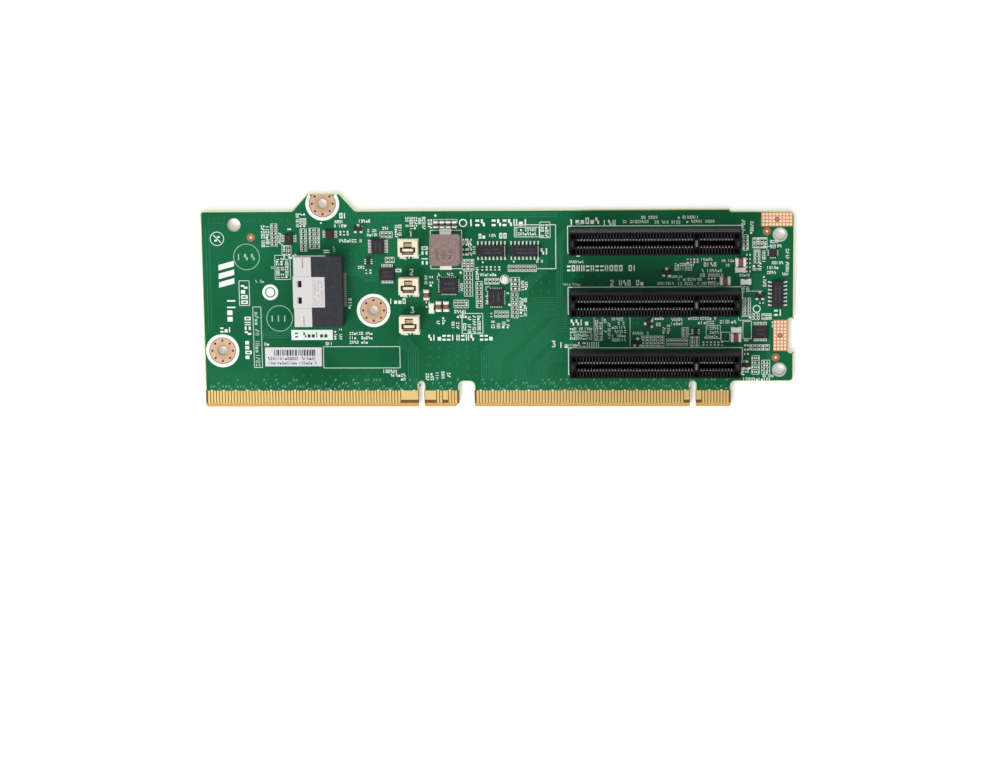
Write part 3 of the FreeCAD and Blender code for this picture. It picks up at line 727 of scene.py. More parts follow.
# chips with gull-wing legs: legs a side, pitch, leg width, the way the row runs, reach, thickness
legChips = {
    "twin_chip_left": (8, 1.27, 0.42, "x", 1.05, 0.18),
    "twin_chip_right": (8, 1.27, 0.42, "x", 1.05, 0.18),
    "edge_chip": (7, 1.27, 0.42, "y", 1.05, 0.18),
    "port_chip_upper": (9, 0.5, 0.24, "y", 1.0, 0.12),
    "port_chip_lower": (8, 0.5, 0.24, "x", 0.95, 0.12),
    "corner_chip": (9, 0.5, 0.24, "x", 0.95, 0.12),
    "sensor_chip_left": (5, 0.5, 0.22, "y", 0.85, 0.12),
    "sensor_chip_right": (5, 0.5, 0.22, "y", 0.85, 0.12),
}
# where a leg bends and how its pad lies, as shares of its reach or width; root and drops in millimetres
gull = {
    "root": 0.05, "shoulder": 0.22, "bend": 0.40, "bendDrop": 0.1, "ankle": 0.58, "ankleRise": 0.06,
    "foot": 0.68, "padAt": 0.78, "padLength": 0.62, "padWidth": 1.35,
}


def gullLeg(edge, reach, shoulder, thickness):
    # out of the case at mid height, down, and flat on the pad
    sole = thickness / 2 + padTop
    return thickRoute([
        (edge - gull["root"], shoulder), (edge + gull["shoulder"] * reach, shoulder),
        (edge + gull["bend"] * reach, shoulder - gull["bendDrop"]),
        (edge + gull["ankle"] * reach, thickness / 2 + gull["ankleRise"]),
        (edge + gull["foot"] * reach, sole), (edge + reach, sole),
    ], thickness)


def makeLegs(name, count, pitch, width, along, reach, thickness):
    left, near, low, right, far, top = sheetBox(name + "_body")
    x, y = (left + right) / 2, (near + far) / 2
    alongY = along == "y"
    half = (right - left) / 2 if alongY else (far - near) / 2
    leg = gullLeg(half, reach, (low + top) / 2, thickness)
    legs = newShape()
    for offset in evenly(count, pitch):
        for side in (-1, 1):
            addStrip(legs, [(side * a, b) for a, b in leg], offset, width, quarter=alongY, middle=(x, y))
            out = side * (half + reach * gull["padAt"])
            padX, padY = (x + out, y + offset) if alongY else (x + offset, y + out)
            addBox(solderPads, padX, padY, width * gull["padWidth"], reach * gull["padLength"],
                   *padLayer, quarter=alongY)
    piece = makePiece(name + "Legs", legs, "tin")
    if name + "_legs" in nodes:
        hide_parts(name + "_legs")


# marks on the chips: sizes that follow a chip's own are shares of it
chipMarks = {
    "inset": 0.15, "rise": 0.008, "dimpleAt": 0.16, "dimple": (0.04, 0.07), "twoRowsAbove": 3.0,
    "dashesFrom": 0.25, "dashesTo": 0.8, "dash": (0.03, 0.09), "dashGap": 0.035, "dashHalf": 0.05,
    "endHighlight": (0.42, 0.22), "endHighlightInset": 0.1, "endHighlightRise": 0.01,
}


def addChipDashes(marks, draw, left, near, right, far, top):
    # faint generic dashes in one row, or two on the larger chips
    length, depth = right - left, far - near
    rows = 2 if min(length, depth) > chipMarks["twoRowsAbove"] else 1
    half = chipMarks["dashHalf"]
    for i in range(rows):
        level = (i + 1) / (rows + 1)
        start = chipMarks["dashesFrom"]
        while start < chipMarks["dashesTo"]:
            dash = draw.uniform(*chipMarks["dash"])
            a, b, c, d = start, level - half, start + dash, level + half
            if length <= depth:
                a, b, c, d = b, a, d, c
            addSpan(marks, left + a * length, near + b * depth, left + c * length, near + d * depth,
                    top, top + chipMarks["rise"])
            start += dash + chipMarks["dashGap"]


def makeChipMarks():
    # a round first-leg dimple and dashes on every chip, and a pale line on the twin chips painted as the
    # highlight on their moulded end bevel
    marks, endHighlights = newShapes(2)
    draw = random.Random(4)
    for node in sorted(nodes):
        if not node.endswith("_body") or node == "inductor_body":
            continue
        left, near, low, right, far, top = sheetBox(node)
        inset = chipMarks["inset"]
        left, near, right, far = left + inset, near + inset, right - inset, far - inset
        size = min(right - left, far - near)
        inner, outer = (share * size for share in chipMarks["dimple"])
        corner = chipMarks["dimpleAt"] * size
        addRing(marks, left + corner, near + corner, inner, outer, top, top + chipMarks["rise"], steps=16)
        addChipDashes(marks, draw, left, near, right, far, top)
        if node.startswith("twin"):
            start, end = chipMarks["endHighlight"]
            inset = chipMarks["endHighlightInset"]
            addSpan(endHighlights, right - start, near + inset, right - end, far - inset,
                    top, top + chipMarks["endHighlightRise"])
    makePiece("chipMarks", marks, "epoxyMark")
    makePiece("chipEndHighlights", endHighlights, "greyMarkShadeHighlight")


for chip, sizes in legChips.items():
    makeLegs(chip, *sizes)
makeChipMarks()
print("chips legged and marked")


# solder lands under the two-ended and three-legged parts: how far each shows round its end
partPads = {
    "large_capacitor_ends": 0.18, "small_capacitor_ends": 0.18, "fuse_ends": 0.18, "transistor_legs": 0.24,
}


def makePartPads():
    for node, grow in partPads.items():
        for island in meshIslands(nodes[node].data):
            spots = [sheetSpot(point) for point in island]
            xs, ys = [x for x, y in spots], [y for x, y in spots]
            addSpan(solderPads, min(xs) - grow, min(ys) - grow, max(xs) + grow, max(ys) + grow, *padLayer)


def meshIslands(mesh):
    # the corner points of each separate solid in a mesh; corners that stand on one point count as one
    spots = [tuple(round(part, 6) for part in vertex.co) for vertex in mesh.vertices]
    parent = {spot: spot for spot in spots}

    def root(spot):
        while parent[spot] != spot:
            spot = parent[spot]
        return spot

    for edge in mesh.edges:
        a, b = root(spots[edge.vertices[0]]), root(spots[edge.vertices[1]])
        parent[a] = b
    islands = {}
    for spot, vertex in zip(spots, mesh.vertices):
        islands.setdefault(root(spot), []).append(vertex.co)
    return list(islands.values())


makePartPads()


# tiny two-ended parts in clusters, most of them inside a printed outline
tinyParts = {
    "length": 1.0, "width": 0.54, "height": 0.42, "end": 0.2, "bodyShare": 0.94, "line": 0.15,
    "resistorShare": 0.7,
    # how far out a fitted part's pads stand, their length and width as shares of its own sizes
    "padAt": 1.3, "padLength": 2.0, "padWidth": 1.2,
    # an empty place: how far out its two pads stand, their length and width
    "emptyAt": 0.44, "emptyPad": (0.52, 0.6),
    # left, near, right, far, columns, rows, the way each part lies, share fitted, bare if not outlined
    "clusters": [
        (23.4, 54.3, 25.5, 61.7, 1, 6, "x", 1.0), (33.2, 52.5, 35.3, 60.0, 1, 6, "x", 1.0),
        (36.2, 53.4, 39.6, 60.2, 2, 5, "x", 0.9), (27.0, 51.3, 30.0, 54.4, 2, 2, "y", 0.7),
        (46.0, 57.6, 49.6, 59.4, 3, 1, "y", 0.5, "bare"), (59.7, 56.9, 63.8, 58.9, 3, 1, "y", 0.7),
        (61.3, 48.6, 64.3, 50.4, 2, 1, "y", 0.8), (74.6, 33.0, 75.9, 36.1, 1, 2, "x", 0.6, "bare"),
        (87.4, 37.3, 90.2, 45.6, 1, 6, "x", 1.0), (86.9, 46.0, 90.7, 49.6, 3, 2, "y", 0.7),
        (86.9, 50.4, 90.2, 57.0, 2, 4, "x", 0.4, "bare"), (91.3, 33.4, 93.4, 42.2, 1, 6, "x", 0.9),
        (94.2, 41.3, 99.0, 43.2, 4, 1, "y", 1.0), (102.9, 39.0, 105.8, 43.5, 2, 3, "x", 0.8),
        (102.9, 30.0, 105.2, 38.3, 1, 6, "x", 0.9), (97.3, 30.2, 102.0, 32.3, 4, 1, "y", 1.0),
        (83.9, 33.4, 88.7, 36.0, 4, 1, "y", 0.8), (102.0, 45.5, 111.4, 47.6, 8, 1, "y", 1.0),
        (92.8, 45.6, 99.8, 47.6, 5, 1, "y", 0.6, "bare"), (159.3, 23.4, 161.4, 26.6, 1, 3, "x", 1.0),
        (145.9, 20.0, 153.4, 23.8, 6, 2, "y", 0.3), (154.2, 20.6, 161.2, 22.8, 6, 1, "y", 1.0),
        (162.0, 20.3, 165.0, 23.5, 2, 2, "y", 0.0), (165.8, 20.2, 173.2, 22.2, 6, 1, "y", 0.5, "bare"),
        (160.6, 48.0, 165.0, 49.7, 4, 1, "y", 0.5, "bare"),
        (167.6, 41.6, 170.6, 43.2, 3, 1, "y", 1.0, "bare"), (179.3, 52.3, 181.0, 57.4, 1, 4, "x", 1.0),
        (182.5, 53.0, 187.2, 56.4, 4, 2, "y", 0.7), (182.9, 48.0, 184.9, 52.4, 1, 4, "x", 0.8),
        (180.0, 44.6, 182.2, 51.4, 1, 5, "x", 0.8, "bare"), (179.4, 30.7, 181.9, 36.4, 1, 5, "x", 1.0),
        (182.4, 29.2, 184.8, 31.3, 1, 2, "x", 1.0), (185.6, 29.2, 188.8, 31.2, 3, 1, "y", 0.7),
        (181.5, 19.0, 188.1, 20.8, 5, 1, "y", 0.8), (179.6, 17.0, 181.5, 21.3, 1, 3, "x", 0.8, "bare"),
        (182.4, 10.9, 184.8, 17.1, 2, 4, "x", 0.2), (185.6, 10.9, 188.3, 15.6, 1, 4, "x", 0.5),
        (183.9, 33.9, 187.1, 35.7, 1, 1, "x", 1.0, "bare"),
        (95.7, 30.0, 96.9, 32.0, 1, 1, "y", 1.0, "bare"), (54.2, 44.6, 57.0, 46.6, 2, 1, "y", 0.5, "bare"),
        (51.8, 59.0, 54.4, 61.2, 2, 1, "y", 0.5, "bare"),
    ],
}


def shifted(x, y, offset, alongX):
    # a spot moved along X, or else along Y
    return (x + offset, y) if alongX else (x, y + offset)


def addTinyPart(bodies, ends, x, y, lieX):
    length, width, height, end = (tinyParts[key] for key in ("length", "width", "height", "end"))
    core, share = length - 2 * end, tinyParts["bodyShare"]
    addBox(bodies, x, y, core, width * share, padTop, padTop + height * share, quarter=not lieX)
    for side in (-1, 1):
        offset = side * (core + end) / 2
        addBox(ends, *shifted(x, y, offset, lieX), end, width, padTop, padTop + height, quarter=not lieX)
        addBox(solderPads, *shifted(x, y, offset * tinyParts["padAt"], lieX), end * tinyParts["padLength"],
               width * tinyParts["padWidth"], *padLayer, quarter=not lieX)


def addEmptyPads(x, y, lieX):
    for side in (-1, 1):
        spot = shifted(x, y, side * tinyParts["emptyAt"], lieX)
        addBox(solderPads, *spot, *tinyParts["emptyPad"], *padLayer, quarter=not lieX)


def printClusterOutline(left, near, right, far, columns, rows, lieX):
    line = tinyParts["line"]
    addFrame(whitePrint, left, near, right, far, line, *printLayer)
    step = (far - near) / rows if lieX else (right - left) / columns
    for i in range(1, rows if lieX else columns):
        start = shifted(left, near, i * step, not lieX)
        end = (right, start[1]) if lieX else (start[0], far)
        addLine(whitePrint, start, end, line, *printLayer)


def makeTinyParts():
    dark, brown, ends = newShapes(3)
    draw = random.Random(11)
    for left, near, right, far, columns, rows, lie, share, *bare in tinyParts["clusters"]:
        lieX = lie == "x"
        if not bare:
            printClusterOutline(left, near, right, far, columns, rows, lieX)
        for i in range(columns):
            for j in range(rows):
                x = left + (i + 0.5) * (right - left) / columns
                y = near + (j + 0.5) * (far - near) / rows
                if draw.random() < share:
                    body = dark if draw.random() < tinyParts["resistorShare"] else brown
                    addTinyPart(body, ends, x, y, lieX)
                else:
                    addEmptyPads(x, y, lieX)
    makePiece("tinyResistors", dark, "resistor", bevel=0.03)
    makePiece("tinyCapacitors", brown, "ceramicDark", bevel=0.03)
    makePiece("tinyEnds", ends, "tin", bevel=0.03)


makeTinyParts()
print("tiny parts placed")


# print on both faces: outlines, rings and rows of plain marks. A row is left, near, length, height, then
# "up" where it stands upright; a repeated one adds how many and the step across the row.
prints = {
    "bold": [
        (46.4, 63.4, 4.4, 1.8), (5.6, 25.3, 4.4, 1.8), (62.6, 34.8, 6.4, 1.8), (8.1, 29.0, 9.4, 2.8, "up"),
        (12.9, 34.9, 7.2, 2.2, "up"), (13.8, 16.3, 15.4, 2.1, "up"), (75.2, 22.4, 22.0, 2.0),
        (89.6, 60.6, 20.6, 2.3), (121.5, 45.5, 24.8, 2.0), (124.4, 61.2, 8.6, 2.1),
        (133.6, 60.6, 5.4, 1.9), (138.6, 40.7, 11.4, 1.8), (119.0, 19.9, 14.6, 1.9),
        (189.6, 30.4, 3.5, 2.2), (122.6, 27.4, 6.4, 2.0), (112.8, 51.1, 4.4, 2.1),
        (73.4, 47.9, 6.8, 2.1, "up"), (92.4, 56.5, 3.0, 1.6), (99.2, 56.5, 3.9, 1.8),
        (40.9, 51.9, 2.6, 1.9, "up"),
    ],
    "small": [
        (20.2, 54.0, 8.2, 1.2, "up", 2, 1.5), (25.9, 55.0, 4.6, 1.0, "up"),
        (31.9, 60.6, 5.4, 1.0, "up", 2, 1.2), (34.3, 60.6, 5.2, 1.0, "up"), (29.0, 59.6, 1.8, 0.9),
        (27.4, 50.0, 3.2, 1.0), (30.4, 50.6, 2.2, 1.0), (24.9, 43.6, 7.2, 1.1, "up", 3, 1.5),
        (44.6, 60.4, 4.2, 1.0), (44.8, 61.8, 3.8, 1.0), (46.1, 55.4, 8.2, 1.1), (55.4, 57.4, 4.0, 1.0),
        (55.6, 58.8, 3.4, 1.0), (64.7, 57.0, 4.8, 1.0, "up"), (65.9, 57.6, 4.2, 1.0, "up"),
        (68.2, 59.7, 4.4, 1.1, "up", 5, 1.4), (75.7, 60.0, 3.6, 1.4, "up"), (64.6, 45.4, 2.6, 2.0, "up"),
        (74.2, 40.6, 4.2, 1.0, "up"), (75.9, 40.6, 4.4, 1.2, "up"), (48.9, 24.4, 7.8, 1.0),
        (48.9, 22.9, 8.0, 1.0), (48.9, 21.4, 7.0, 1.0), (43.8, 22.8, 3.4, 1.0, "up"),
        (45.4, 22.8, 4.2, 1.0, "up"), (20.3, 20.8, 3.4, 1.1), (40.0, 20.9, 4.0, 1.1),
        (48.7, 33.2, 4.0, 1.2, "up"), (59.9, 11.5, 5.6, 1.1), (62.4, 10.2, 5.4, 1.1),
        (65.8, 8.9, 3.2, 1.1), (74.1, 9.0, 3.4, 1.1, "up"), (75.7, 9.0, 3.2, 1.1, "up"),
        (77.4, 9.6, 2.8, 1.1, "up", 2, 1.9), (81.3, 9.2, 3.2, 1.1, "up"), (86.9, 54.8, 3.6, 1.0),
        (89.0, 51.4, 3.0, 0.9, "up"), (90.4, 51.4, 3.2, 0.9, "up"), (95.9, 57.0, 2.6, 1.0),
        (104.6, 58.9, 7.4, 1.0, "flat", 2, -1.4), (112.9, 57.0, 4.6, 1.1, "up", 2, 1.5),
        (111.4, 48.4, 3.0, 1.0), (92.8, 44.0, 6.0, 1.0), (106.2, 39.2, 4.0, 1.1, "up"),
        (105.7, 30.4, 7.4, 1.2, "up"), (96.2, 26.5, 3.2, 1.2, "up", 3, 1.8), (84.0, 31.6, 4.6, 1.1),
        (84.0, 30.0, 4.8, 1.1), (78.0, 27.9, 3.4, 1.1, "up", 2, 1.9), (86.8, 25.0, 4.0, 1.1, "up"),
        (88.4, 25.0, 6.2, 1.1, "up", 3, 1.6), (94.4, 34.6, 3.8, 1.0, "up"), (101.3, 36.4, 2.4, 1.0, "up"),
        (77.4, 44.2, 2.2, 0.9), (81.8, 44.2, 2.2, 0.9), (86.1, 39.0, 3.4, 0.9, "up"),
        (140.0, 61.4, 9.0, 1.0), (150.4, 61.2, 9.0, 1.0), (160.8, 61.4, 9.6, 1.0), (146.0, 62.8, 6.0, 1.0),
        (158.0, 62.8, 7.6, 1.0), (122.2, 48.2, 5.0, 0.9), (156.9, 47.0, 6.9, 1.1, "flat", 2, -1.4),
        (158.1, 42.2, 9.0, 1.0), (158.1, 40.9, 16.0, 0.9), (151.2, 40.9, 6.2, 0.9),
        (154.6, 43.2, 5.6, 0.8), (165.6, 48.8, 4.6, 1.0), (178.2, 43.6, 3.8, 0.9), (165.4, 46.9, 6.4, 1.4),
        (165.0, 45.0, 8.4, 1.1), (165.4, 43.5, 8.4, 1.1), (172.4, 48.4, 4.4, 0.9), (173.0, 46.9, 4.0, 0.9),
        (155.8, 28.8, 4.4, 1.0, "flat", 2, -1.4), (161.4, 29.2, 9.4, 1.0), (164.6, 27.7, 6.2, 1.2),
        (171.8, 27.9, 6.2, 1.2), (152.9, 24.6, 3.4, 1.0, "up", 2, 1.5), (160.9, 24.3, 3.4, 1.2, "up"),
        (149.6, 29.2, 4.6, 1.0), (150.8, 27.1, 2.0, 1.1), (143.1, 24.2, 6.2, 1.0),
        (122.3, 25.9, 7.6, 0.8, "flat", 4, -1.1), (132.1, 22.6, 7.4, 1.1, "up"),
        (133.5, 24.3, 5.6, 1.0, "up"), (134.8, 23.0, 5.6, 1.0, "up"), (136.2, 29.0, 4.2, 1.0),
        (137.4, 27.6, 3.2, 1.0), (136.2, 26.2, 5.2, 1.0), (136.4, 24.8, 5.0, 1.0),
        (136.3, 23.4, 5.2, 1.0, "flat", 2, -1.4), (167.7, 25.9, 4.0, 1.0, "flat", 2, -1.4),
        (167.7, 23.2, 4.0, 0.9), (130.6, 22.6, 7.4, 1.1, "up"), (178.8, 58.8, 3.8, 1.2, "up"),
        (181.6, 57.7, 4.8, 1.1, "up"), (185.6, 48.4, 4.4, 1.1, "up"), (187.2, 46.0, 4.5, 1.0),
        (187.2, 44.4, 3.8, 1.0), (182.5, 45.6, 2.6, 1.3, "up"), (184.1, 45.6, 3.2, 1.3, "up"),
        (185.9, 40.2, 3.4, 1.1, "up"), (192.2, 43.9, 2.4, 0.9), (188.2, 53.2, 4.4, 1.0),
        (188.2, 54.6, 4.0, 1.0), (188.8, 47.6, 4.4, 1.0), (179.5, 8.7, 11.0, 1.1),
        (178.9, 38.4, 4.6, 1.0, "up"), (180.4, 38.4, 4.4, 1.0, "up"), (179.8, 22.0, 1.6, 1.0),
        (188.9, 26.4, 2.4, 1.0, "up"), (178.8, 10.6, 5.4, 1.1, "up"), (180.3, 10.6, 5.2, 1.1, "up"),
        (186.0, 9.9, 4.0, 0.8), (52.8, 62.0, 4.4, 1.0), (91.3, 42.8, 5.0, 1.0, "up"),
        (107.5, 39.4, 3.4, 1.0, "up"), (107.1, 30.6, 6.6, 1.0, "up"), (101.3, 26.5, 3.2, 1.0, "up"),
        (193.3, 45.2, 8.2, 1.1, "up"), (83.0, 26.6, 3.4, 1.0, "up"), (84.6, 26.4, 3.0, 1.0, "up"),
        (44.9, 46.0, 3.6, 1.0, "up"), (51.4, 46.6, 3.2, 1.0), (60.6, 59.6, 2.6, 1.0),
    ],
    "faint": [
        (17.2, 13.8, 19.4, 1.5, "up"), (12.1, 49.6, 1.7, 2.1), (14.3, 49.6, 1.7, 2.1),
        (16.6, 49.6, 1.7, 2.1), (22.8, 28.9, 1.7, 2.1), (24.9, 28.9, 1.7, 2.1), (27.0, 28.9, 1.7, 2.1),
        (17.8, 42.0, 3.6, 1.0), (23.2, 46.6, 1.8, 0.9), (120.2, 40.8, 6.0, 0.8), (120.4, 20.4, 4.6, 0.8),
        (158.0, 40.0, 17.0, 0.8), (43.9, 52.2, 2.2, 0.9, "up"),
    ],
    # left, near, right, far, line
    "frames": [
        (12.3, 34.4, 15.7, 42.7, 0.18), (16.7, 13.4, 19.4, 33.9, 0.16), (40.0, 13.2, 65.6, 20.4, 0.17),
        (24.5, 43.1, 29.6, 51.2, 0.16), (104.2, 57.0, 112.4, 60.2, 0.18), (112.6, 56.7, 116.0, 61.9, 0.18),
        (76.4, 46.5, 86.8, 59.3, 0.22), (77.6, 61.9, 85.4, 62.9, 0.16), (86.5, 24.7, 93.4, 31.5, 0.2),
        (130.3, 22.3, 133.0, 30.2, 0.16), (177.9, 29.0, 182.0, 30.3, 0.16),
        (179.4, 22.8, 182.2, 28.6, 0.2), (167.3, 22.9, 172.0, 27.3, 0.2), (172.2, 22.0, 175.0, 25.0, 0.2),
    ],
    # x, y, inner, outer
    "rings": [
        (5.4, 56.8, 2.15, 2.36), (87.3, 61.7, 1.0, 1.35), (183.9, 32.8, 1.0, 1.3),
        (100.9, 42.85, 1.35, 1.6), (22.7, 38.8, 1.75, 2.65),
    ],
    "faintRings": [(15.1, 50.7, 4.2, 4.42), (25.6, 30.0, 4.2, 4.42)],
    # x, y, radius
    "dots": [
        (93.7, 48.6, 0.3), (40.2, 61.9, 0.28), (48.4, 61.0, 0.3), (32.6, 60.9, 0.28), (27.1, 54.6, 0.28),
        (103.9, 48.8, 0.3), (65.9, 56.2, 0.4), (104.3, 34.2, 0.3), (102.3, 34.4, 0.42), (86.3, 45.2, 0.4),
        (186.2, 43.4, 0.3), (181.6, 29.9, 0.3), (186.1, 53.6, 0.3), (78.2, 64.2, 0.4), (167.0, 23.2, 0.35),
    ],
    # left, near, right, far
    "blocks": [(29.4, 22.7, 43.3, 26.1), (175.7, 24.7, 178.8, 26.6)],
    # routes of line and their widths; the last is a bar across the small ring at the left edge
    "lines": [
        ([(104.0, 61.0), (117.8, 61.0), (117.8, 46.4), (111.6, 46.4)], 0.22),
        ([(130.4, 30.4), (142.2, 30.4), (142.2, 20.3)], 0.16),
        ([(179.2, 40.2), (180.8, 40.2), (180.8, 38.7), (185.7, 38.7)], 0.16),
        ([(4.1, 58.1), (6.7, 55.5)], 0.26),
    ],
    # x, y, length, width: two small blocks in the ring at the left edge
    "smallBlocks": [(5.9, 57.4, 0.9, 0.5), (4.9, 56.2, 0.8, 0.6)],
    # the badge: slanted bars
    "badge": {"bars": 3, "left": 5.6, "right": 10.8, "near": 40.4, "step": 2.9, "slant": 1.4, "bar": 1.8},
    "disc": (22.7, 38.8, 1.4),      # x, y, radius: it lies in the middle of its ring
    # how far right of a slot's left end and past its far side each number stands, and so for the headers
    "slotNumbers": [(0.0, 1.1), (13.2, 1.1), (-6.2, 1.1)], "headerNumber": (0.2, 0.7),
    "pointer": [(1.2, -1.5), (2.6, -1.5), (1.9, -0.5)], "headerLine": (0.3, 0.35, 0.1),
}


def addMarkRows(shape, rows):
    for x, y, length, height, *more in rows:
        way, count, step = more + ["flat", 1, 0.0][len(more):]
        upright = way == "up"
        for i in range(count):
            markX, markY = (x + i * step, y) if upright else (x, y + i * step)
            addMarks(shape, markX, markY, length, height, *printLayer, upright=upright)


def makePrints():
    addMarkRows(whitePrint, prints["bold"] + prints["small"])
    addMarkRows(faintPrint, prints["faint"])
    for left, near, right, far, line in prints["frames"]:
        addFrame(whitePrint, left, near, right, far, line, *printLayer)
    for shape, rings in ((whitePrint, prints["rings"]), (faintPrint, prints["faintRings"])):
        for x, y, inner, outer in rings:
            addRing(shape, x, y, inner, outer, *printLayer, steps=40)
    for x, y, radius in prints["dots"]:
        addDisc(whitePrint, x, y, radius, *printLayer, sides=14)
    for left, near, right, far in prints["blocks"]:
        addSpan(whitePrint, left, near, right, far, *printLayer)
    for route, line in prints["lines"]:
        addPath(whitePrint, route, line, *printLayer)
    for x, y, length, width in prints["smallBlocks"]:
        addBox(whitePrint, x, y, length, width, *printLayer)
    printBadge()
    addDisc(whitePrint, *prints["disc"], *printLayer, sides=36)
    for i, name in enumerate(slots["names"]):
        printPlaceNumbers(i, name)


def printBadge():
    left, right, slant, bar = (prints["badge"][key] for key in ("left", "right", "slant", "bar"))
    for i in range(prints["badge"]["bars"]):
        near = prints["badge"]["near"] + i * prints["badge"]["step"]
        corners = [(left, near), (right, near + slant), (right, near + slant + bar), (left, near + bar)]
        addPrism(whitePrint, corners, *printLayer)


def printPlaceNumbers(i, slot):
    # a number by each slot and each header, a pointer at each header's first pin and a line before it
    left, near, low, right, far, top = sheetBox(slot + "_housing")
    shift, gap = prints["slotNumbers"][i]
    addNumber(whitePrint, i + 1, left + shift, far + gap)
    left, near, low, right, far, top = sheetBox("header_%d_housing" % (i + 1))
    shift, gap = prints["headerNumber"]
    addNumber(whitePrint, i + 1, (left + right) / 2 + shift, far + gap)
    addPrism(whitePrint, [(left + x, near + y) for x, y in prints["pointer"]], *printLayer)
    beyond, start, end = prints["headerLine"]
    addSpan(faintPrint, left - beyond, near - start, right + beyond, near - end, *printLayer)


# plain marks in mask colour on the white block beside the port
blockMarks = {"inX": 1.2, "inY": 0.8, "short": 2.0, "height": 1.8, "rise": 0.006}


def makeBlockMarks():
    marks = newShape()
    left, near, right, far = prints["blocks"][0]
    addMarks(marks, left + blockMarks["inX"], near + blockMarks["inY"], right - left - blockMarks["short"],
             blockMarks["height"], printTop, printTop + blockMarks["rise"])
    makePiece("blockMarks", marks, "maskDark")


# the side that faces down: rows of marks beside the slots, a wide row, and a frame round the port's feet
belowPrint = {
    "rowsAt": (1.0, 24.0, 40.0), "gap": 1.6, "row": (9.0, 1.1), "wideRow": (70.0, 26.0, 22.0, 2.2),
    "portLength": 16.0, "portLine": 0.25,
}


def makeUndersidePrint():
    for name in slots["names"]:
        left, near, low, right, far, top = sheetBox(name + "_housing")
        for along in belowPrint["rowsAt"]:
            addMarks(whitePrint, left + along, far + belowPrint["gap"], *belowPrint["row"], *printBelow)
    addMarks(whitePrint, *belowPrint["wideRow"], *printBelow)
    left, near, low, right, far, top = sheetBox("port_shell")
    right = left + belowPrint["portLength"]
    addFrame(faintPrint, left, near, right, far, belowPrint["portLine"], *printBelow)


makePrints()
makeBlockMarks()
makeUndersidePrint()
print("prints laid")


# copper under the mask: bundles of lines, stubs above the fingers, and small vias
copper = {
    "width": 0.2, "height": 0.012, "via": 0.32, "viaHole": 0.15, "wellShare": 0.5, "scatter": 0.3,
    "fingerRows": ["left_fingers_upper", "right_fingers_upper"], "keyFromRight": 11.4, "keyGap": 1.7,
    # stubs lean to the right on their way up, each to a via; every fourth finger has a tinned tip
    "stubPitch": 1.0, "stubFrom": 0.35, "stubReaches": (0.7, 1.5, 2.6, 3.7),
    "lean": 0.4, "leadWidth": 0.14, "bend": (0.3, 0.5),
    "tipEvery": 4, "tipRow": 1, "tipAt": 0.12, "tip": (0.74, 0.34), "tipThickness": 0.036,
    # route, count, pitch
    "bundles": [
        ([(96.0, 9.5), (96.0, 17.0), (112.5, 33.5), (121.0, 33.5)], 9, 0.8),
        ([(105.5, 9.5), (105.5, 15.0), (118.0, 27.5), (121.0, 27.5)], 6, 0.8),
        ([(112.5, 9.5), (112.5, 13.5), (116.0, 17.0), (121.5, 17.0)], 5, 0.8),
        ([(107.0, 32.0), (107.0, 40.0), (113.5, 46.5), (113.5, 50.0)], 5, 0.7),
        ([(119.0, 34.0), (119.0, 56.0), (121.0, 58.0)], 4, 0.6),
        ([(66.0, 23.0), (70.0, 19.0), (70.0, 8.5)], 5, 0.8),
        ([(90.0, 64.3), (118.0, 64.3)], 3, 0.6), ([(2.2, 27.0), (2.2, 60.0)], 2, 1.1),
        ([(20.0, 24.5), (27.5, 24.5), (30.0, 27.0)], 4, 0.6),
        ([(73.0, 57.0), (73.0, 64.5), (60.0, 64.5)], 2, 0.7),
        ([(48.0, 46.0), (53.0, 46.0), (55.0, 44.0), (58.5, 44.0)], 6, 0.6),
        ([(184.0, 38.5), (184.0, 44.0)], 5, 0.6), ([(188.0, 22.0), (188.0, 10.0)], 2, 0.7),
    ],
    "undersideBundles": [
        ([(30.0, 27.0), (30.0, 8.0)], 12, 0.9), ([(46.0, 30.0), (60.0, 16.0), (60.0, 8.0)], 8, 0.9),
        ([(130.0, 10.5), (130.0, 7.0)], 8, 1.2), ([(150.0, 10.5), (150.0, 7.0)], 12, 1.2),
        ([(48.0, 40.0), (74.0, 40.0), (96.0, 18.0), (96.0, 8.0)], 8, 0.9),
        ([(48.0, 50.0), (80.0, 50.0), (100.0, 54.0), (121.0, 54.0)], 6, 0.8),
        ([(104.0, 35.0), (121.0, 35.0)], 8, 0.9), ([(104.0, 15.0), (121.0, 15.0)], 6, 0.9),
    ],
    # left, near, right, far, step
    "viaFields": [
        (2.6, 62.0, 8.5, 64.2, 1.8), (14.0, 62.8, 30.0, 64.4, 1.9), (56.0, 62.4, 63.0, 64.4, 2.1),
        (96.0, 50.2, 118.5, 50.6, 2.3), (68.0, 34.0, 73.5, 36.0, 1.8), (100.0, 12.0, 120.0, 31.0, 3.7),
        (98.0, 34.0, 99.0, 34.5, 1.2), (110.0, 36.0, 118.5, 44.0, 2.9), (143.0, 24.5, 146.0, 30.0, 1.8),
        (124.0, 41.2, 134.0, 44.0, 2.7), (50.0, 47.5, 54.0, 53.0, 1.9), (60.5, 60.5, 63.5, 61.5, 1.4),
        (20.5, 7.4, 56.0, 12.2, 3.1), (2.5, 7.6, 16.0, 12.4, 2.7), (88.0, 10.5, 94.0, 20.5, 2.9),
        (186.0, 46.0, 187.5, 47.0, 1.2), (75.5, 14.0, 88.0, 20.8, 3.1),
    ],
}


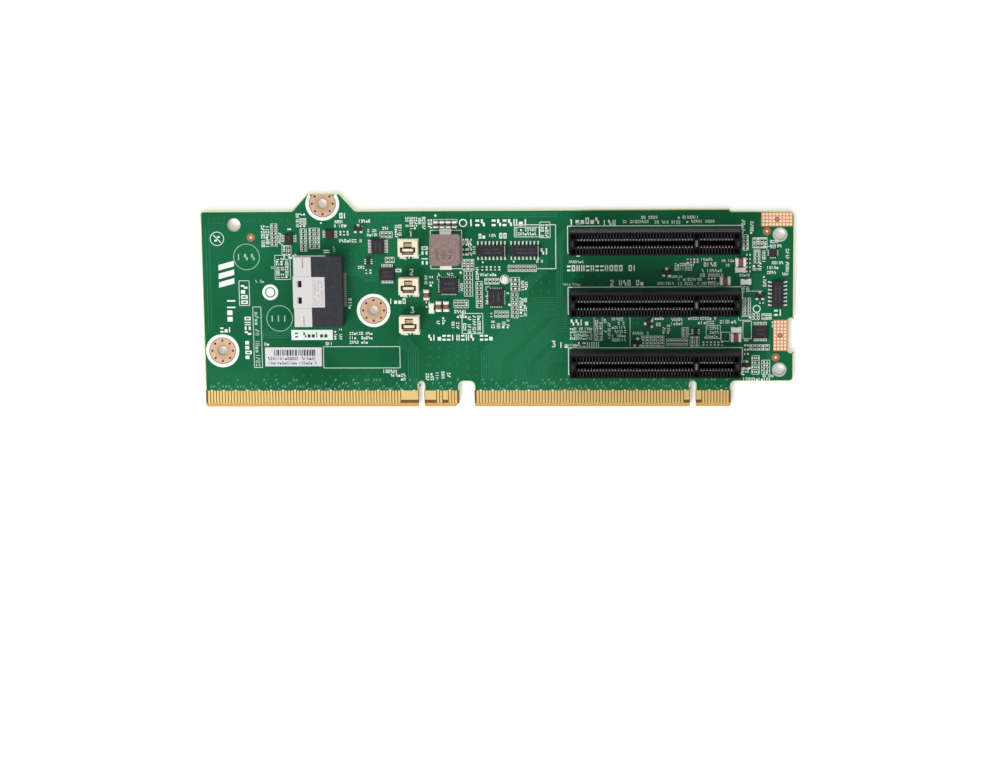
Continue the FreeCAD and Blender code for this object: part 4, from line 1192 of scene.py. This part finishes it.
def addVia(shape, wellShade, x, y, layers=(onTop, onUnderside)):
    # a via shows as a small ring with a sunken dark middle of painted shade for its hollow, on one face or
    # on both
    hole, high = copper["viaHole"], copper["height"]
    for layer in layers:
        addRing(shape, x, y, hole, copper["via"], *layer(high), steps=8)
        addDisc(wellShade, x, y, hole, *layer(high * copper["wellShare"]), sides=8)


def addBundle(lines, wellShade, route, count, pitch, layer):
    # even lines side by side, each of which runs into a via at both ends
    routes = [offsetRoute(route, offset) for offset in evenly(count, pitch)]
    for line in routes:
        addPath(lines, line, copper["width"], *layer(copper["height"]))
    for line in routes:
        for x, y in (line[0], line[-1]):
            addVia(lines, wellShade, x, y, (layer,))


def addStub(lines, stubs, wellShade, x, far, reach):
    layer = onTop(copper["height"])
    sideways, upward = copper["bend"]
    leanX, tipY = x + copper["lean"] * reach, far + reach
    addLine(stubs, (leanX, tipY - upward), (leanX + sideways, tipY), copper["width"], *layer)
    addVia(stubs, wellShade, leanX + sideways, tipY)
    addLine(lines, (x, far), (leanX, tipY - upward), copper["leadWidth"], *layer)


def makeCopper():
    lines, stubs, wellShade, tips = newShapes(4)
    for route, count, pitch in copper["bundles"]:
        addBundle(lines, wellShade, route, count, pitch, onTop)
    for route, count, pitch in copper["undersideBundles"]:
        addBundle(lines, wellShade, route, count, pitch, onUnderside)
    draw = random.Random(23)
    scatter = copper["scatter"]
    for left, near, right, far, step in copper["viaFields"]:
        for i in range(int((right - left) / step) + 1):
            for j in range(int((far - near) / step) + 1):
                x = left + i * step + draw.uniform(-scatter, scatter)
                addVia(lines, wellShade, x, near + j * step + draw.uniform(-scatter, scatter))
    for node in copper["fingerRows"]:
        left, near, low, right, far, top = sheetBox(node)
        for i in range(int((right - left) / copper["stubPitch"])):
            x = left + copper["stubFrom"] + i * copper["stubPitch"]
            reach = draw.choice(copper["stubReaches"])
            if abs(x - right + copper["keyFromRight"]) <= copper["keyGap"]:
                continue    # the key notch cuts the row
            if i % copper["tipEvery"] == copper["tipRow"]:
                addBox(tips, x, far + copper["tipAt"], *copper["tip"], *onTop(copper["tipThickness"]))
            addStub(lines, stubs, wellShade, x, far, reach)
    makePiece("copperLines", lines, "trace")
    makePiece("fingerStubs", stubs, "viaLight")
    makePiece("fingerTips", tips, "paleSolder")
    makePiece("viaWellShade", wellShade, "maskDark")


makeCopper()
print("copper lines and vias laid")


# square grids of tinned pads on the two bare copper corners, and the round aiming marks
lattice = {
    "pad": 0.78, "pitch": 1.12, "sink": 0.002, "rise": 0.02, "ring": (0.25, 0.85, 0.026),
    "aimDisc": (1.35, 0.006, 28), "aimSpot": (0.4, 0.03, 20),    # radius, height, sides
    # left, near, columns, rows
    "grids": [(185.95, 60.75, 9, 4), (189.95, 19.4, 4, 9)],
    "aims": [(16.7, 57.2), (187.1, 58.5), (190.2, 16.5)],
}


def makeLattice():
    pads, discs, spots = newShapes(3)
    pad, pitch = lattice["pad"], lattice["pitch"]
    top = sheetBox("ground_pads")[-1]
    for left, near, columns, rows in lattice["grids"]:
        for i in range(columns):
            for j in range(rows):
                addBox(pads, left + i * pitch, near + j * pitch, pad, pad,
                       top - lattice["sink"], top + lattice["rise"])
        inner, outer, rise = lattice["ring"]
        x, y = left + (columns / 2 - 0.5) * pitch, near + (rows / 2 - 0.5) * pitch
        addRing(discs, x, y, inner, outer, top, top + rise, steps=20)
    for x, y in lattice["aims"]:
        for shape, (radius, height, sides) in ((discs, lattice["aimDisc"]), (spots, lattice["aimSpot"])):
            addDisc(shape, x, y, radius, *onTop(height), sides=sides)
    makePiece("latticePads", pads, "paleSolder")
    makePiece("aimingDiscs", discs, "landRim")
    makePiece("aimingSpots", spots, "paleSolder")


makeLattice()
print("pad grids and aiming marks laid")


# cable port: grey lines of painted shade along the shell's creases, rows of stamped marks on the shell,
# dimples in the plastic; places along the port are measured from its mouth, places across it from its
# middle
port = {
    "housingLength": 16.05, "hood": 5.85, "crease": 5.35, "creaseEnds": 0.1, "creaseHalf": 0.07,
    "cuts": (1.3, 3.1, 4.6), "cutFrom": 6.2, "cutTo": 10.6, "cutLine": 0.06, "thinRise": 0.005,
    "dimpleAt": 13.1, "dimple": 0.42, "tail": (0.9, 0.3, 0.1), "tailLine": 0.3, "stampRise": 0.006,
    "rowsFrom": 0.75, "rows": 3, "rowPitch": 1.15, "rowHalf": 4.5, "row": (9.0, 0.85),
    "sideLine": 0.1, "sideLineAt": 0.35, "sideLineHalf": 4.8,
}


def makePortDetail():
    stampsAndCreaseShade, dimples = newShapes(2)
    left, near, low, right, far, top = sheetBox("port_shell")
    mouth = sheetBox("port_housing")[3] - port["housingLength"]
    middle = (near + far) / 2
    high, thinHigh = top + port["stampRise"], top + port["thinRise"]
    dimpleX = mouth + port["dimpleAt"]
    back, down, up = port["tail"]
    for side in (-1, 1):
        y = middle + side * port["crease"]
        # the crease lines are painted shade along the shell's folds
        addSpan(stampsAndCreaseShade, mouth + port["creaseEnds"], y - port["creaseHalf"],
                mouth + port["hood"] - port["creaseEnds"], y + port["creaseHalf"], top, high)
        cutFrom, cutTo = middle + side * port["cutFrom"], middle + side * port["cutTo"]
        for x in port["cuts"]:
            addLine(stampsAndCreaseShade, (mouth + x, cutFrom), (mouth + x, cutTo), port["cutLine"], top, thinHigh)
        addDisc(dimples, dimpleX, y, port["dimple"], top, high, sides=16)
        addLine(dimples, (dimpleX - back, y - down), (dimpleX, y + up), port["tailLine"], top, thinHigh)
    rowsLeft = mouth + port["hood"] + port["rowsFrom"]
    for i in range(port["rows"]):
        x = rowsLeft + i * port["rowPitch"]
        addMarks(stampsAndCreaseShade, x, middle - port["rowHalf"], *port["row"], top, high, upright=True)
    lineX, lineHalf = rowsLeft - port["sideLineAt"], port["sideLineHalf"]
    addLine(stampsAndCreaseShade, (lineX, middle - lineHalf), (lineX, middle + lineHalf), port["sideLine"], top, high)
    makePiece("portStampsAndCreaseShade", stampsAndCreaseShade, "greyMarkShadeHighlight")
    makePiece("portDimples", dimples, "resistor")


makePortDetail()
print("port stamped")


# headers: a tan plate behind the socket, dark blocks of painted shade on its sides and in its gaps, a pale
# blade and a tan step in front.
# A block is half its length, front, back, how deep it goes and how far below the top it ends.
headers = {
    "count": 3, "plate": (1.3, 3.12, 4.35, 1.76, 0.75), "plateLine": (1.3, 4.38, 4.82, 1.76, 1.2),
    "blade": (1.76, 1.68, 2.56, 1.6, 0.4), "step": (1.85, 0.58, 1.28, 1.58, 1.0),
    "liner": (2.52, 1.33, 3.07, 3.7, 0.35), "linerWall": 0.6, "linerFront": 0.22, "linerBack": 0.3,
    "linerShallow": 0.5, "ticks": 4, "tickPitch": 0.9, "tick": (0.1, 0.6, 0.95, 1.0, 0.98),
}


def addHeaderBlock(shape, x, near, top, block):
    half, front, back, deep, shallow = block
    addSpan(shape, x - half, near + front, x + half, near + back, top - deep, top - shallow)


def makeHeaderDetail():
    plates, blades, recessShades = newShapes(3)
    half, front, back, deep, shallow = headers["liner"]
    wall = headers["linerWall"] / 2
    for i in range(headers["count"]):
        left, near, low, right, far, top = sheetBox("header_%d_housing" % (i + 1))
        x = (left + right) / 2
        addHeaderBlock(plates, x, near, top, headers["plate"])
        addHeaderBlock(plates, x, near, top, headers["step"])
        addHeaderBlock(blades, x, near, top, headers["blade"])
        addHeaderBlock(recessShades, x, near, top, headers["plateLine"])
        for way in (-1, 1):
            side = x + way * (half - wall)
            addHeaderBlock(recessShades, side, near, top, (wall, front, back, deep, shallow))
        for start, end in ((front, front + headers["linerFront"]), (back - headers["linerBack"], back)):
            addHeaderBlock(recessShades, x, near, top, (half, start, end, deep, headers["linerShallow"]))
        for offset in evenly(headers["ticks"], headers["tickPitch"]):
            addHeaderBlock(recessShades, x + offset, near, top, headers["tick"])
    makePiece("headerPlates", plates, "brassPlate", bevel=0.05)
    makePiece("headerBlades", blades, "cream", bevel=0.08)
    makePiece("headerRecessShades", recessShades, "recessShade")


# inductor: worn marks pressed in its top, and solder that shows round both feet
inductor = {
    "rows": 3, "rowPitch": 2.2, "left": 2.0, "near": 2.4, "row": (4.6, 1.2), "rise": 0.008,
    "padHalf": 1.95, "padShows": 1.75,
}


def makeInductorDetail():
    marks = newShape()
    left, near, low, right, far, top = sheetBox("inductor_body")
    for i in range(inductor["rows"]):
        addMarks(marks, left + inductor["left"] + i * inductor["rowPitch"], near + inductor["near"],
                 *inductor["row"], top, top + inductor["rise"], upright=True)
    makePiece("inductorMarks", marks, "powderMark")
    x = (left + right) / 2
    for start, end in ((near - inductor["padShows"], near), (far, far + inductor["padShows"])):
        addSpan(solderPads, x - inductor["padHalf"], start, x + inductor["padHalf"], end, *padLayer)


# label: dark bars over two rows of worn marks, placed by shares of its length and height
label = {
    "barsFrom": 0.16, "barsTo": 0.87, "barLow": 0.56, "barHigh": 0.88,
    "barWidths": (0.24, 0.24, 0.38, 0.58), "barGaps": (0.17, 0.25, 0.36), "ink": 0.008,     # millimetres
    # start, level, and the marks' own height in millimetres
    "rows": [(0.05, 0.33, 1.05), (0.06, 0.10, 0.95)], "rowLength": 0.88,
}


def makeLabelDetail():
    ink = newShape()
    left, near, low, right, far, top = sheetBox("barcode_label")
    length, height = right - left, far - near
    high = top + label["ink"]
    barLow, barHigh = near + label["barLow"] * height, near + label["barHigh"] * height
    draw = random.Random(3)
    x = left + label["barsFrom"] * length
    while x < left + label["barsTo"] * length:
        width = draw.choice(label["barWidths"])
        addSpan(ink, x, barLow, x + width, barHigh, top, high)
        x += width + draw.choice(label["barGaps"])
    for start, level, size in label["rows"]:
        x, y = left + start * length, near + level * height
        addMarks(ink, x, y, length * label["rowLength"], size, top, high)
    makePiece("labelInk", ink, "ink")


makeHeaderDetail()
makeInductorDetail()
makeLabelDetail()
print("headers, inductor and label finished")


# flat no-lead chips: how many pad ends show along X and along Y, and their pitch
flatChips = {"power_chip": (8, 7, 0.65), "control_chip": (7, 8, 0.6), "clock_chip": (4, 4, 0.5)}
flatPads = {"out": 0.18, "pad": (0.28, 0.5), "corner": 0.7, "cornerLeg": 0.6, "cornerLine": 0.16}


def makeFlatChipPads():
    for chip, (countX, countY, pitch) in flatChips.items():
        left, near, low, right, far, top = sheetBox(chip + "_body")
        x, y = (left + right) / 2, (near + far) / 2
        outX, outY = (right - left) / 2 + flatPads["out"], (far - near) / 2 + flatPads["out"]
        for side in (-1, 1):
            for offset in evenly(countX, pitch):
                addBox(solderPads, x + offset, y + side * outY, *flatPads["pad"], *padLayer)
            for offset in evenly(countY, pitch):
                addBox(solderPads, x + side * outX, y + offset, *flatPads["pad"], *padLayer, quarter=True)
        # a printed corner beside the first pad
        away, leg = flatPads["corner"], flatPads["cornerLeg"]
        corner = [(left - away, far - leg), (left - away, far + away), (left + leg, far + away)]
        addPath(whitePrint, corner, flatPads["cornerLine"], *printLayer)


# two small chips with three legs a side; a case is its width, length, low and high
smallChips = {
    "places": [(55.7, 49.0), (163.8, 25.2)], "case": (1.3, 2.1, 0.12, 1.0),
    "legPitch": 0.65, "legOut": 0.3, "leg": (0.62, 0.26), "legHeight": 0.14, "pad": (0.6, 0.36),
    "shift": 0.1,
}


def makeSmallChips():
    bodies, legs = newShapes(2)
    reach, shift = smallChips["case"][0] / 2 + smallChips["legOut"], smallChips["shift"]
    legTop = padTop + smallChips["legHeight"]
    for x, y in smallChips["places"]:
        addBox(bodies, x, y, *smallChips["case"])
        for i in (-1, 0, 1):
            for side in (-1, 1):
                legX, legY = x + side * reach, y + i * smallChips["legPitch"]
                addBox(legs, legX - side * shift, legY, *smallChips["leg"], padTop, legTop)
                addBox(solderPads, legX + side * shift, legY, *smallChips["pad"], *padLayer)
    makePiece("smallChips", bodies, "epoxy", bevel=0.1)
    makePiece("smallChipLegs", legs, "tin", bevel=0.04)


# one round tin can, tan on top
roundPart = {
    "x": 100.9, "y": 42.85, "radius": 1.15, "height": 1.1,
    "capShift": 0.1, "capShare": 0.68, "capRise": 0.05,
}


def makeRoundPart():
    can, cap = newShapes(2)
    x, y, radius, height = (roundPart[key] for key in ("x", "y", "radius", "height"))
    shift = roundPart["capShift"]
    addDisc(can, x, y, radius, *onTop(height), sides=28)
    capTop = height + roundPart["capRise"]
    addDisc(cap, x - shift, y + shift, radius * roundPart["capShare"], height, capTop)
    makePiece("roundCan", can, "tin", bevel=0.15, segments=3)
    makePiece("roundCap", cap, "paleSolder", bevel=0.03)


makeFlatChipPads()
makeSmallChips()
makeRoundPart()
print("flat chips and round part finished")

makePiece("solderPads", solderPads, "solder")
makePiece("whitePrint", whitePrint, "print")
makePiece("faintPrint", faintPrint, "printFaint")
print("pads and prints gathered")


# camera, looking down and a little from the right and the far side; angles are in degrees
view = {
    "aimX": board["length"] / 2, "aimY": board["depth"] * 0.46, "away": 900.0, "towardRight": 3.5,
    "towardTop": 9.0, "pitch": -10.68, "yaw": 3.45, "roll": -0.70, "lens": 99.14, "sensor": 36.0,
    "clip": (0.05, 20.0),
}


def makeCamera():
    data = bpy.data.cameras.new("camera")
    data.lens = view["lens"]
    data.sensor_width = view["sensor"]
    data.clip_start, data.clip_end = view["clip"]
    camera = addObject("camera", data)
    away = view["away"]
    spot = place(view["aimX"] + away * math.tan(math.radians(view["towardRight"])),
                 view["aimY"] + away * math.tan(math.radians(view["towardTop"])), away)
    turns = [Matrix.Rotation(math.radians(view[key]), 4, axis) for key, axis in
             (("yaw", "Y"), ("pitch", "X"), ("roll", "Z"))]
    camera.matrix_world = Matrix.Translation(spot) @ turns[0] @ turns[1] @ turns[2]
    bpy.context.scene.camera = camera


# pale floor, a little brighter where it is seen or mirrored than where it only lights the part
floorLook = {
    "reach": 4.0, "colour": (0.93, 0.93, 0.93, 1.0), "roughness": 0.9,
    "glow": (1.0, 1.0, 1.0, 1.0), "lift": 0.28,
}


def makeStage():
    mesh = bpy.data.meshes.new("studioFloor")
    reach = floorLook["reach"]
    corners = [(-reach, -reach, 0), (reach, -reach, 0), (reach, reach, 0), (-reach, reach, 0)]
    mesh.from_pydata(corners, [], [(0, 1, 2, 3)])
    floor = addObject("studioFloor", mesh)
    material, tree, shader = startFinish("paperFloor", floorLook["roughness"], specular=0.0)
    paths = addNode(tree, "ShaderNodeLightPath", {})
    seen = calculate(tree, "MAXIMUM", paths["Is Camera Ray"], paths["Is Glossy Ray"])
    lift = calculate(tree, "MULTIPLY", seen, floorLook["lift"])
    feed(tree, shader, {
        "Base Color": floorLook["colour"], "Emission Color": floorLook["glow"], "Emission Strength": lift,
    })
    mesh.materials.append(material)


# where each lamp hangs in metres, its size and its watts; both look at the middle of the card
lamps = {
    "keyLamp": ((-0.48, -0.71, 0.95), (0.6, 0.45), 10.3),
    "backFillLamp": ((0.1, 1.1, 0.24), (1.4, 0.25), 9.0),
}
air = {"colour": (1.0, 1.0, 1.0, 1.0), "strength": 0.66}


def makeLight():
    world = bpy.data.worlds.new("studioAir")
    world.use_nodes = True
    background = world.node_tree.nodes["Background"]
    feed(world.node_tree, background, {"Color": air["colour"], "Strength": air["strength"]})
    bpy.context.scene.world = world
    for name, (where, size, power) in lamps.items():
        data = bpy.data.lights.new(name, "AREA")
        data.shape = "RECTANGLE"
        data.size, data.size_y = size
        data.energy = power
        lamp = addObject(name, data)
        lamp.location = where
        lamp.rotation_euler = (-Vector(where)).to_track_quat("-Z", "Y").to_euler()


makeCamera()
makeStage()
makeLight()
bpy.context.scene.view_settings.view_transform = "Standard"
print("camera, floor and lamps set")
